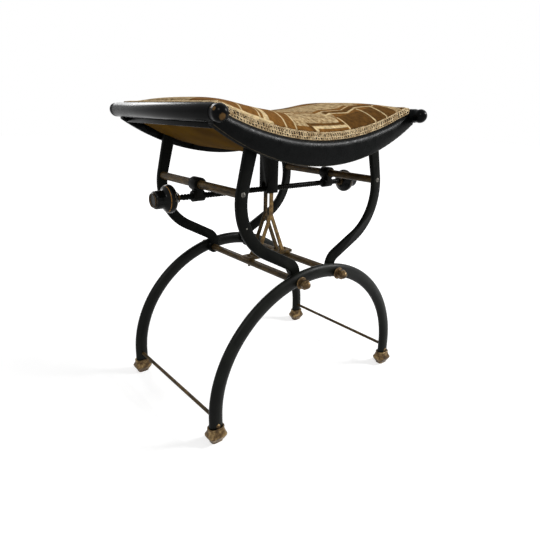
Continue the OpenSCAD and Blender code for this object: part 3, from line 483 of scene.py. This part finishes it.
# Each pale ring's depth from the knob's tip, half width, colour and how patchy it is
for at, width, shade, spread in ((24.9, 0.5, "#94692f", 0.44), (32.2, 0.45, "#7a6f5c", 0.5),
                                 (1.1, 0.45, "#6d5433", 0.46), (3.6, 0.25, "#4b4439", 0.5)):
    off = add(tree, "Math", {0: depth.outputs[0], 1: at * mm}, operation="SUBTRACT")
    off = add(tree, "Math", {0: off.outputs[0]}, operation="ABSOLUTE")
    ring = add(tree, "MapRange", {0: off.outputs[0], 1: 1.3 * width * mm,
                                  2: 0.7 * width * mm})
    kept = add(tree, "MapRange", {0: patchy.outputs[0], 1: spread - 0.06,
                                  2: spread + 0.04})
    worn = add(tree, "Math", {0: ring.outputs[0], 1: kept.outputs[0]}, operation="MULTIPLY")
    wood = add(tree, "Mix", {0: worn.outputs[0], 6: wood, 7: hue(shade)},
               data_type="RGBA").outputs[2]
tree.links.new(wood, surface.inputs["Base Color"])
dull = add(tree, "MapRange", {0: patchy.outputs[0], 1: 0.3, 2: 0.7, 3: 0.14, 4: 0.28})
tree.links.new(dull.outputs[0], surface.inputs["Roughness"])
surface.inputs["Specular IOR Level"].default_value = 0.08
bump = add(tree, "Bump", {"Height": patchy.outputs[0], "Distance": 0.12 * mm})
tree.links.new(bump.outputs[0], surface.inputs["Normal"])

# Distance from the tip and radius round the knob, in millimetres
knob_outline = rounded([
    (2.4, 0), (2.4, 8.8), (1.2, 9.6), (0, 10.4), (0, 11.8), (1.2, 12.4), (2.9, 12.6),
    (3.6, 14.2), (5.0, 15.2), (7.5, 15.5), (12, 15.5), (16.5, 15.4), (19, 15.9),
    (21.4, 17.6), (23.4, 20.2), (24.4, 21.7), (25.3, 22.4), (27.2, 23.3), (29, 23.9),
    (31.2, 24.0), (33.4, 23.9), (35.4, 22.9), (37.6, 20.2), (40.2, 16.2), (43, 12.6),
    (43, 0)], 0.22)
for side, sx in (("left", -1), ("right", 1)):
    bm = bmesh.new()
    turned(bm, [(a * mm, r * mm) for a, r in knob_outline],
           (sx * knob_tip_x, 0, spindle_z), (-sx, 0, 0), 56)
    knob = show(f"turned_knob_{side}", finish_mesh(bm, f"turned_knob_{side}"),
                polished_knob, "screw", smooth_below=50)
    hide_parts(f"knob_{side}")
coat(browned_iron, "collar_left", "collar_right")

# Seat frame. Two crescent rails of ebonised beech, rounded on the outer top edge, are
# dowelled into two round end rolls with ball ends; a batten lies under each roll.

# The rolls' black polish is chipped to brown wood on the front left ball. The balls are
# handled most and have kept a higher gloss
ball_from_y, ball_rough = 160 * mm, 0.22
ebonised, surface = weathered(
    "ebonised_polished_beech", coat="#050606", pale="#0c0d0e", worn="#6b5130",
    cloud=40 * mm, chips=-0.02, gloss=(0.18, 0.28), grain=1.6 * mm, grain_depth=0.1 * mm,
    spots=[(-227.8, -183.7, 530.2, 5), (-235.7, -175.1, 540.4, 3), (-233, -166, 541, 2.5)])
surface.inputs["Specular IOR Level"].default_value = 0.04
tree = ebonised.node_tree
roll_dull = surface.inputs["Roughness"].links[0].from_socket
along = add(tree, "SeparateXYZ", {0: add(tree, "TexCoord").outputs["Object"]})
from_middle = add(tree, "Math", {0: along.outputs[1]}, operation="ABSOLUTE")
ball = add(tree, "MapRange", {0: from_middle.outputs[0], 1: ball_from_y,
                              2: ball_from_y + 3 * mm})
handled = add(tree, "Mix", {0: ball.outputs[0], 2: roll_dull, 3: ball_rough})
tree.links.new(handled.outputs[0], surface.inputs["Roughness"])

# The same polish, with a pale grey line painted along the rails' lower outer edges as a
# highlight where the arris catches light from the floor, and dull on their undersides
rail_low_z, rail_low_r = 452.5 * mm, 415 * mm
rail_with_edge_highlight, tree, surface, place = begin("ebonised_beech_painted_edge_highlight")
polish = add(tree, "TexNoise", {"Vector": place, "Scale": 1 / (40 * mm), "Detail": 5.0})
wood = add(tree, "Mix", {0: polish.outputs[0], 6: hue("#030404"), 7: hue("#0b0c0c")},
           data_type="RGBA")
from_axis = add(tree, "Mapping", {0: place, 1: (0, 0, -rail_low_z - rail_low_r),
                                  3: (1, 0, 1)})
radius = add(tree, "VectorMath", {0: from_axis.outputs[0]}, operation="LENGTH")
nicks = add(tree, "TexNoise", {"Vector": place, "Scale": 1 / (14 * mm), "Detail": 7.0,
                               "Roughness": 0.7})
edge = add(tree, "Math", {0: nicks.outputs[0], 1: -3.4 * mm, 2: radius.outputs["Value"]},
           operation="MULTIPLY_ADD")
edge_highlight_band = add(tree, "MapRange", {0: edge.outputs[0], 1: rail_low_r - 3.0 * mm,
                                  2: rail_low_r - 2.2 * mm})
rail_face_y = -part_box("seat_rail_front")[0].y
across = add(tree, "SeparateXYZ", {0: place})
from_middle = add(tree, "Math", {0: across.outputs[1]}, operation="ABSOLUTE")
outer = add(tree, "MapRange", {0: from_middle.outputs[0], 1: rail_face_y - 1.6 * mm,
                               2: rail_face_y - 0.9 * mm})
# Painted highlight: the pale grey line along the lower outer edge stands for light caught
# by the arris
rubbed = add(tree, "Math", {0: edge_highlight_band.outputs[0], 1: outer.outputs[0]},
             operation="MULTIPLY")
wood = add(tree, "Mix", {0: rubbed.outputs[0], 6: wood.outputs[2], 7: hue("#4c463b")},
           data_type="RGBA")
tree.links.new(wood.outputs[2], surface.inputs["Base Color"])
dull = add(tree, "MapRange", {0: nicks.outputs[0], 1: 0.35, 2: 0.65, 3: 0.2, 4: 0.42})
underside = add(tree, "MapRange", {0: radius.outputs["Value"], 1: rail_low_r - 1.2 * mm,
                                   2: rail_low_r - 0.4 * mm})
dull = add(tree, "Mix", {0: underside.outputs[0], 2: dull.outputs[0], 3: 0.8})
tree.links.new(dull.outputs[0], surface.inputs["Roughness"])
surface.inputs["Specular IOR Level"].default_value = 0.045
bump = add(tree, "Bump", {"Height": nicks.outputs[0], "Distance": 0.4 * mm})
tree.links.new(bump.outputs[0], surface.inputs["Normal"])
for end in ("front", "rear"):
    dress(f"seat_rail_{end}", f"crescent_rail_{end}", rail_with_edge_highlight, "seat",
          ease=0.6 * mm, smooth_below=30)
for side in ("left", "right"):
    for name in ("end_roll", "end_batten"):
        dress(f"{name}_{side}", f"polished_{name}_{side}", ebonised, "seat",
              ease=0.7 * mm, smooth_below=30)

# Tracks and guide box. Black sheet iron under the seat: slotted plates for the leg pins
# and the box that the forks run in.
coat(oiled_iron, "track_plates_front", "track_plates_rear")
dress("guide_box", "fork_box", oiled_iron, "seat", ease=0.4 * mm)

# Seat board. A plain curved deal board carries the stuffing; its edges are all that
# could ever be seen.

# Deal: sawn softwood, brown with age, its grain running along the seat
deal, tree, surface, place = begin("brown_deal_board")
along = add(tree, "Mapping", {0: place, 3: (0.08, 1, 1)})
grain = add(tree, "TexNoise", {"Vector": along.outputs[0], "Scale": 1 / (3 * mm),
                               "Detail": 4.0})
ramp = add(tree, "ValToRGB", {0: grain.outputs[0]},
           stops=((0.3, hue("#4a3520")), (0.7, hue("#7a5f3c"))))
tree.links.new(ramp.outputs[0], surface.inputs["Base Color"])
surface.inputs["Roughness"].default_value = 0.7
coat(deal, "seat_board")

# Lining. Glazed golden cotton stretched under the seat and turned in along its edges,
# with a hole for the fork box.
lining_rise = 9 * mm
lining_low, lining_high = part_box("seat_lining")
lining_r = rail_low_r - lining_rise
lining_centre_z = rail_low_z + rail_low_r
lining_half_a = math.asin(lining_high.x / lining_r)
lining_len, lining_w = 2 * lining_half_a * lining_r, lining_high.y - lining_low.y

# Glazed cotton: thin, plainly woven and dusty, golden brown in the shade of the seat
glazed_cotton, tree, surface, place = begin("glazed_cotton_lining")
stain = add(tree, "TexNoise", {"Vector": place, "Scale": 1 / (70 * mm), "Detail": 4.0})
ramp = add(tree, "ValToRGB", {0: stain.outputs[0]},
           stops=((0.3, hue("#4c3305")), (0.7, hue("#6a4b08"))))
tree.links.new(ramp.outputs[0], surface.inputs["Base Color"])
surface.inputs["Roughness"].default_value = 0.9
surface.inputs["Specular IOR Level"].default_value = 0.03
# Cotton has about 30 threads to the centimetre; a 1 mm weave is the finest that shows
warp, weft = [add(tree, "TexWave", {"Vector": place, "Scale": 1 / (6.3 * mm),
                                    "Distortion": 0.6}, bands_direction=way)
              for way in ("X", "Y")]
weave = add(tree, "Math", {0: warp.outputs["Fac"], 1: weft.outputs["Fac"]},
            operation="MULTIPLY")
bump = add(tree, "Bump", {"Height": weave.outputs[0], "Distance": 0.08 * mm})
tree.links.new(bump.outputs[0], surface.inputs["Normal"])

bm = bmesh.new()
bmesh.ops.create_grid(bm, x_segments=60, y_segments=36, size=0.5)
hole_x, hole_y = 12.4 * mm, 14.2 * mm
hem, pucker, pucker_gap, sag_in = 30 * mm, 0.35 * mm, 7 * mm, 0.8 * mm
for vert in bm.verts:
    vert.co = Vector((vert.co.x * lining_len, vert.co.y * lining_w, 0))
for line, axis in (((hole_x, 0), (1, 0, 0)), ((-hole_x, 0), (1, 0, 0)),
                   ((0, hole_y), (0, 1, 0)), ((0, -hole_y), (0, 1, 0))):
    bmesh.ops.bisect_plane(bm, geom=bm.verts[:] + bm.edges[:] + bm.faces[:],
                           plane_co=(*line, 0), plane_no=axis)
bmesh.ops.delete(bm, geom=[f for f in bm.faces
                           if abs(f.calc_center_median().x) < hole_x
                           and abs(f.calc_center_median().y) < hole_y], context="FACES")
for vert in bm.verts:
    angle = vert.co.x / lining_r
    edge = min(lining_w / 2 - abs(vert.co.y), hem) / hem
    pull = pucker * (1 - edge) * math.sin(vert.co.x / pucker_gap)
    r = lining_r - sag_in + pull
    vert.co = Vector((r * math.sin(angle), vert.co.y,
                      lining_centre_z - r * math.cos(angle)))
lining = show("cotton_lining", finish_mesh(bm, "cotton_lining"), glazed_cotton, "seat",
              smooth_below=60)
thick = lining.modifiers.new("thickness", "SOLIDIFY")
thick.thickness, thick.offset = 0.6 * mm, 0
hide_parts("seat_lining")

# Cushion. Horsehair stuffing under figured cut velvet, pulled over the board and tacked
# down all round, so that its sides draw in at the braid.
rail_top_z, rail_top_r = 493 * mm, 525 * mm
braid_h, pad_end_x = 14.5 * mm, 210.2 * mm


def sole_z(x):
    """Height of the rails' curved top edge at x."""
    return rail_top_z + rail_top_r - math.sqrt(rail_top_r ** 2 - x ** 2)


def shaped(piece):
    """A piece's mesh with its modifiers carried out."""
    return bpy.data.meshes.new_from_object(
        piece.evaluated_get(bpy.context.evaluated_depsgraph_get()))


def simulate(cushion, held_below, most):
    """Blows the cushion up like a tight cloth skin; what the tacks hold stays put."""
    start = [v.co.copy() for v in cushion.data.vertices]
    tacked = cushion.vertex_groups.new(name="tacked")
    let_go = 8 * mm
    for i, point in enumerate(start):
        height = point.z - sole_z(point.x)
        tacked.add([i], min(1, max(0, (held_below + let_go - height) / let_go)), "REPLACE")
    cloth = cushion.modifiers.new("cloth", "CLOTH")
    cloth.settings.quality = 6
    cloth.settings.mass = 0.3
    cloth.settings.tension_stiffness = cloth.settings.compression_stiffness = 25
    cloth.settings.bending_stiffness = 2
    cloth.settings.use_pressure = True
    cloth.settings.uniform_pressure_force = 4
    cloth.settings.vertex_group_mass = "tacked"
    cloth.settings.effector_weights.gravity = 0
    for frame_number in range(1, 21):
        bpy.context.scene.frame_set(frame_number)
    evaluated = cushion.evaluated_get(bpy.context.evaluated_depsgraph_get())
    blown = [v.co.copy() for v in evaluated.data.vertices]
    cushion.modifiers.remove(cloth)
    cushion.vertex_groups.remove(tacked)
    for vert, was, now in zip(cushion.data.vertices, start, blown):
        step = now - was
        vert.co = was + step * min(1, most / max(step.length, 1e-9))
    bpy.context.scene.frame_set(1)


# Figured velvet: a short dense pile, golden brown with cream and fawn figures, whose nap
# catches the light from the side
velvet, tree, surface, place = begin("figured_cut_velvet")
drift = add(tree, "TexNoise", {"Vector": place, "Scale": 1 / (45 * mm), "Detail": 3.0})
shift = add(tree, "VectorMath", {0: drift.outputs["Color"], 1: (0.5, 0.5, 0.5)},
            operation="SUBTRACT")
drifted = add(tree, "VectorMath", {0: shift.outputs[0], 1: (5, 5, 0), 2: (0, 0, 0)},
              operation="MULTIPLY_ADD")
in_mm = add(tree, "VectorMath", {0: place, 1: (1000, 1000, 1000), 2: drifted.outputs[0]},
            operation="MULTIPLY_ADD")
across = add(tree, "SeparateXYZ", {0: in_mm.outputs[0]})
x_mm, y_mm = across.outputs[0], across.outputs[1]
# A fan of stripes on the left starts at the front edge, leans to the right and bows back
front_mm, fan_lean, fan_bow = 148.0, -0.5, 0.0011
lean_y = add(tree, "Math", {0: y_mm, 1: front_mm})
lean_in = add(tree, "Math", {0: lean_y.outputs[0], 1: fan_lean, 2: x_mm},
              operation="MULTIPLY_ADD")
bow = add(tree, "Math", {0: lean_y.outputs[0], 1: 2.0}, operation="POWER")
fan = add(tree, "Math", {0: bow.outputs[0], 1: fan_bow, 2: lean_in.outputs[0]},
          operation="MULTIPLY_ADD")
# Zigzags run across the right half
zigzag_run, zigzag_slope = 33.0, 0.4
fold = add(tree, "Math", {0: x_mm, 1: zigzag_run}, operation="PINGPONG")
zigzag = add(tree, "Math", {0: fold.outputs[0], 1: zigzag_slope, 2: y_mm},
             operation="MULTIPLY_ADD")
ways = {"x": x_mm, "y": y_mm, "fan": fan.outputs[0], "zigzag": zigzag.outputs[0]}


def woven(way, low, high, soft=0.7):
    """How far a point lies inside a woven band between two places, in millimetres."""
    off = add(tree, "Math", {0: ways[way], 1: (low + high) / 2}, operation="SUBTRACT")
    off = add(tree, "Math", {0: off.outputs[0]}, operation="ABSOLUTE")
    half = (high - low) / 2
    band = add(tree, "MapRange", {0: off.outputs[0], 1: half + soft, 2: half - soft})
    return band.outputs[0]


streaky = add(tree, "Mapping", {0: place, 3: (1, 0.6, 1)})
mottle = add(tree, "TexNoise", {"Vector": streaky.outputs[0], "Scale": 1 / (6 * mm),
                                "Detail": 6.0, "Roughness": 0.72})
ramp = add(tree, "ValToRGB", {0: mottle.outputs[0]},
           stops=((0.36, hue("#6f5230")), (0.49, hue("#a88f68")), (0.66, hue("#cdb88f"))))
gold, dark, cream, fawn = hue("#765024"), hue("#5a3d1a"), hue("#cfb88c"), ramp.outputs[0]
# Each figure's colour and the two bands, in millimetres, that it fills where they cross
figures = [
    (fawn, "fan", -66, 42, "y", -137, -60), (fawn, "x", -60, 215, "y", -70, 20),
    (fawn, "x", -215, -150, "y", -60, 150), (fawn, "x", -30, 120, "y", 60, 150),
    (cream, "fan", -171, -168, "y", -149, 149),
    (cream, "fan", -137, -134.5, "y", -149, 149),
    (cream, "fan", -129, -119, "y", -149, -60), (cream, "fan", -88, -85, "y", -149, 149),
    (cream, "fan", -66, -63.5, "y", -149, 149), (cream, "x", -205, -110, "y", -150, -141),
    (dark, "x", -25, 60, "y", -135, -128), (dark, "x", -28, -21, "y", -150, -128),
    (cream, "x", -20, 60, "y", -142, -136.5), (cream, "x", -20, -12, "y", -150, -136.5),
    (gold, "x", -12, 64, "y", -150, -143), (dark, "x", 64, 215, "y", -150, -108),
    (cream, "x", 60.5, 63.5, "y", -150, -112), (cream, "x", 127, 130, "y", -150, -96),
    (cream, "x", 158, 161, "y", -150, -96), (fawn, "x", 186, 200, "y", -150, -100),
    (dark, "x", 20, 90, "y", 20, 70), (cream, "x", 90, 93, "y", -60, 110),
    (dark, "zigzag", -88, -76, "x", 52, 205), (cream, "zigzag", -92, -87.5, "x", 45, 172),
    (gold, "zigzag", -70, -60, "x", -50, 130), (cream, "zigzag", -73, -70.5, "x", -60, 150),
    (dark, "x", 130, 180, "y", 30, 149)]
colour = gold
for shade, way_a, low_a, high_a, way_b, low_b, high_b in figures:
    inside = add(tree, "Math", {0: woven(way_a, low_a, high_a),
                                1: woven(way_b, low_b, high_b)}, operation="MULTIPLY")
    colour = add(tree, "Mix", {0: inside.outputs[0], 6: colour, 7: shade},
                 data_type="RGBA").outputs[2]
brushed = add(tree, "Mapping", {0: place, 3: (1, 0.35, 1)})
nap = add(tree, "TexNoise", {"Vector": brushed.outputs[0], "Scale": 1 / (6 * mm),
                             "Detail": 7.0, "Roughness": 0.7})
shaded = add(tree, "MapRange", {0: nap.outputs[0], 1: 0.34, 2: 0.66, 3: 0.55, 4: 1.3})
colour = add(tree, "VectorMath", {0: colour, 3: shaded.outputs[0]}, operation="SCALE")
tree.links.new(colour.outputs[0], surface.inputs["Base Color"])
surface.inputs["Roughness"].default_value = 0.95
surface.inputs["Specular IOR Level"].default_value = 0.04
surface.inputs["Sheen Weight"].default_value = 0.05
surface.inputs["Sheen Roughness"].default_value = 0.45
surface.inputs["Sheen Tint"].default_value = hue("#c79a5c")
# Pile tufts are about 0.5 mm apart; 1.2 mm is the finest that shows
pile = add(tree, "TexNoise", {"Vector": place, "Scale": 1 / (1.2 * mm), "Detail": 2.0})
bump = add(tree, "Bump", {"Height": pile.outputs[0], "Distance": 0.5 * mm})
tree.links.new(bump.outputs[0], surface.inputs["Normal"])

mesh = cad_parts["seat_pad"].data.copy()
bm = bmesh.new()
bm.from_mesh(mesh)
bmesh.ops.remove_doubles(bm, verts=bm.verts, dist=0.01 * mm)
# The real crown is a little lower, because the cloth swells it
crown_share = 0.93
for vert in bm.verts:
    above = vert.co.z - sole_z(vert.co.x) - braid_h
    if above > 0:
        vert.co.z -= above * (1 - crown_share)
bm.to_mesh(mesh)
bm.free()
drop_old_normals(mesh)
cushion = bpy.data.objects.new("velvet_cushion", mesh)
bpy.context.scene.collection.objects.link(cushion)
knit = cushion.modifiers.new("knit", "REMESH")
knit.mode, knit.voxel_size = "VOXEL", 4.5 * mm
knit_mesh = shaped(cushion)
cushion.modifiers.remove(knit)
cushion.data = knit_mesh
simulate(cushion, held_below=9 * mm, most=8 * mm)
smooth = cushion.modifiers.new("soften", "SUBSURF")
smooth.levels = smooth.render_levels = 1
soft_mesh = shaped(cushion)
cushion.modifiers.remove(smooth)
cushion.data = soft_mesh
soft_mesh.name = "velvet_cushion"
soft_mesh.materials.clear()
soft_mesh.materials.append(velvet)
soft_mesh.shade_smooth()
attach(cushion, "seat")
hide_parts("seat_pad")

# Gimp braid. An openwork trimming of cream cotton cord, looped between two edge cords, with
# a dark brown tape behind as painted shade in its openings, and glued over the tacks round
# the foot of the cushion.

# Twisted cotton cord: cream, dusty in patches, with a fine twist
cotton_cord, tree, surface, place = begin("cream_cotton_gimp")
age = add(tree, "TexNoise", {"Vector": place, "Scale": 1 / (9 * mm), "Detail": 5.0})
ramp = add(tree, "ValToRGB", {0: age.outputs[0]},
           stops=((0.3, hue("#9f8257")), (0.65, hue("#e8d2a8"))))
tree.links.new(ramp.outputs[0], surface.inputs["Base Color"])
surface.inputs["Roughness"].default_value = 0.85
twist = add(tree, "TexNoise", {"Vector": place, "Scale": 1 / (0.8 * mm), "Detail": 2.0})
bump = add(tree, "Bump", {"Height": twist.outputs[0], "Distance": 0.25 * mm})
tree.links.new(bump.outputs[0], surface.inputs["Normal"])

# Dark brown tape behind the loops: painted shade for the openings, also used for the tack
# line
shade_and_tack_brown, tree, surface, place = begin("braid_shade_and_tack_brown")
surface.inputs["Roughness"].default_value = 0.95
fuzz = add(tree, "TexNoise", {"Vector": place, "Scale": 1 / (2 * mm), "Detail": 4.0})
ramp = add(tree, "ValToRGB", {0: fuzz.outputs[0]},
           stops=((0.3, hue("#160d06")), (0.7, hue("#3c2814"))))
tree.links.new(ramp.outputs[0], surface.inputs["Base Color"])

# The braid's lower edge runs along the rails and over the tops of the end rolls. Towards
# the ends its line widens a little, front to back, and its upper edge dips
foot_x, foot_y, corner_r = 222 * mm, 148.6 * mm, 13 * mm
roll_x, roll_z, roll_r = 225 * mm, 535 * mm, 12.7 * mm
band_w = 13.8 * mm
widen_from, widen_over, widen_share = 185 * mm, 35 * mm, 0.05
dip_from, dip_over, dip = 190 * mm, 18 * mm, 2.5 * mm


def round_foot(gap):
    """Points round the cushion's foot, gap apart: place, direction out, and distance."""
    corners = [(-foot_x, -foot_y), (foot_x, -foot_y), (foot_x, foot_y), (-foot_x, foot_y)]
    points, run = [], 0.0
    for i, (cx, cy) in enumerate(corners):
        nx, ny = corners[(i + 1) % 4]
        along = Vector((nx - cx, ny - cy)).normalized()
        out = Vector((along.y, -along.x))
        length = (Vector((nx, ny)) - Vector((cx, cy))).length - 2 * corner_r
        count = round(length / gap)
        for k in range(count):
            spot = Vector((cx, cy)) + along * (corner_r + length * k / count)
            points.append((spot, out, run + length * k / count))
        run += length
        turn = round(corner_r * math.pi / 2 / gap)
        middle = Vector((nx, ny)) - along * corner_r - out * corner_r
        for k in range(turn):
            a = math.pi / 2 * k / turn
            way = out * math.cos(a) + along * math.sin(a)
            points.append((middle + way * corner_r, way, run + corner_r * a))
        run += corner_r * math.pi / 2
    for spot, _, _ in points:
        near_end = min(1, max(0, (abs(spot.x) - widen_from) / widen_over))
        spot.y *= 1 + widen_share * near_end ** 2 * (3 - 2 * near_end)
    return points, run


def band_line(spot):
    """Where the braid starts at a place on the foot, and how steeply it climbs inwards."""
    x = abs(spot.x)
    foot_z = sole_z(min(x, roll_x - roll_r))
    if x > roll_x - roll_r:
        foot_z = max(foot_z, roll_z + math.sqrt(roll_r ** 2 - (x - roll_x) ** 2))
    end_share = min(1, max(0, (x - dip_from) / dip_over))
    edge_z = sole_z(min(x, pad_end_x)) + braid_h - dip * end_share
    rise = min(0.98, (edge_z - foot_z) / band_w)
    return foot_z, rise, math.sqrt(1 - rise ** 2)


def braid_point(spot, out, height, proud):
    """A point on the braid: how far up the band, and how far it stands off the cushion."""
    foot_z, rise, inward = band_line(spot)
    flat = spot + out * (proud * rise - height * inward)
    return (flat.x, flat.y, foot_z + height * rise + proud * inward)


foot, foot_len = round_foot(1.0 * mm)

# The tacks and the braid draw the cushion's foot in, so it swells out just above them
tape_back, swell_slope, drawn_within = -1.4 * mm, 1.1, 24 * mm
near_foot = kdtree.KDTree(len(foot))
for i, (spot, _, _) in enumerate(foot):
    near_foot.insert((spot.x, spot.y, 0), i)
near_foot.balance()
for vert in cushion.data.vertices:
    _, i, gap = near_foot.find((vert.co.x, vert.co.y, 0))
    if gap < drawn_within:
        spot, out, _ = foot[i]
        foot_z, rise, inward = band_line(spot)
        reach, above = (vert.co.xy - spot).dot(out), vert.co.z - foot_z
        proud, up = reach * rise + above * inward, above * rise - reach * inward
        spare = proud - tape_back - max(0, up - band_w) * swell_slope
        if spare > 0:
            vert.co -= Vector((out.x * rise, out.y * rise, inward)) * spare


def cord_row(name, height, swing, loop, lap, lie, thick, finish, start, beads):
    """One cord laid round the foot: it swings up and down once in each loop's length.

    lap doubles it back on itself, so that the swings close into eyes, and lie is how far it
    stands off the cushion. start shifts its first swing, and beads thins every other point.
    """
    hand = random.Random(name)
    loops = round(foot_len / loop)
    uneven = [[hand.uniform(-1, 1) for _ in range(3)] for _ in range(loops)]
    steps = 14 if swing else 3
    curve = bpy.data.curves.new(name, "CURVE")
    curve.dimensions = "3D"
    curve.bevel_depth, curve.bevel_resolution = thick / 2, 1
    line = curve.splines.new("POLY")
    line.points.add(loops * steps - 1)
    line.use_cyclic_u = True
    for i in range(loops * steps):
        share = i % steps / steps
        lift, reach, shift = (a + (b - a) * share for a, b in zip(
            uneven[i // steps], uneven[(i // steps + 1) % loops]))
        phase = 2 * math.pi * (i / steps + start)
        run = (foot_len * i / (loops * steps) + lap * (1 + 0.25 * shift) * math.sin(phase)
               + 0.3 * loop * shift) % foot_len
        at = run / foot_len * len(foot)
        spot, out, _ = foot[int(at) % len(foot)]
        following = foot[(int(at) + 1) % len(foot)][0]
        spot = spot.lerp(following, at - int(at))
        up = height + 0.4 * swing * lift + swing * (1 + 0.3 * reach) * math.cos(phase)
        point = braid_point(spot, out, up, lie + 0.35 * thick * math.cos(phase * 2))
        line.points[i].co = (*point, 1)
        line.points[i].radius = 1 - beads * (i % 2)
    made = bpy.data.objects.new(name, curve)
    bpy.context.scene.collection.objects.link(made)
    mesh = shaped(made)
    bpy.data.objects.remove(made)
    mesh.name = name
    return show(name, mesh, finish, "seat", smooth_below=80)


# For each row: height, swing, loop length, lap, lie and thickness, in millimetres
for name, finish, sizes, start, beads in (
        ("gimp_edge_cord_low", cotton_cord, (1.5, 0.3, 2.4, 0, 0.9, 1.5), 0, 0.35),
        ("gimp_loops_low", cotton_cord, (4.2, 2.0, 5.2, 1.9, 1.0, 1.15), 0, 0),
        ("gimp_loops_middle", cotton_cord, (7.4, 2.0, 5.2, -1.9, 1.1, 1.15), 0.5, 0),
        ("gimp_loops_high", cotton_cord, (10.5, 1.9, 5.2, 1.9, 1.0, 1.15), 0.2, 0),
        ("gimp_edge_cord_high", cotton_cord, (12.7, 1.0, 4.4, 1.2, 0.7, 1.2), 0.7, 0),
        ("tack_line", shade_and_tack_brown, (0.4, 0, 3.2, 0, 0.9, 1.0), 0, 0.55)):
    cord_row(name, *(size * mm for size in sizes), finish, start, beads)

# The tape behind the loops is painted shade: dark brown where the openings would show
# shadow
bm = bmesh.new()
tape_foot, _ = round_foot(4 * mm)
rings = []
for spot, out, _ in tape_foot:
    section = ((0.2, 0.0), (12.9, 0.0), (12.9, -1.0), (0.2, -1.0))
    rings.append([bm.verts.new(braid_point(spot, out, h * mm, p * mm)) for h, p in section])
loops = [[bm.edges.new((ring[k], ring[(k + 1) % 4])) for k in range(4)] for ring in rings]
for i, loop in enumerate(loops):
    bmesh.ops.bridge_loops(bm, edges=loop + loops[(i + 1) % len(loops)])
tape = show("gimp_braid_shade_tape", finish_mesh(bm, "gimp_braid_shade_tape"), shade_and_tack_brown, "seat",
            smooth_below=40)
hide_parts("gimp_braid")
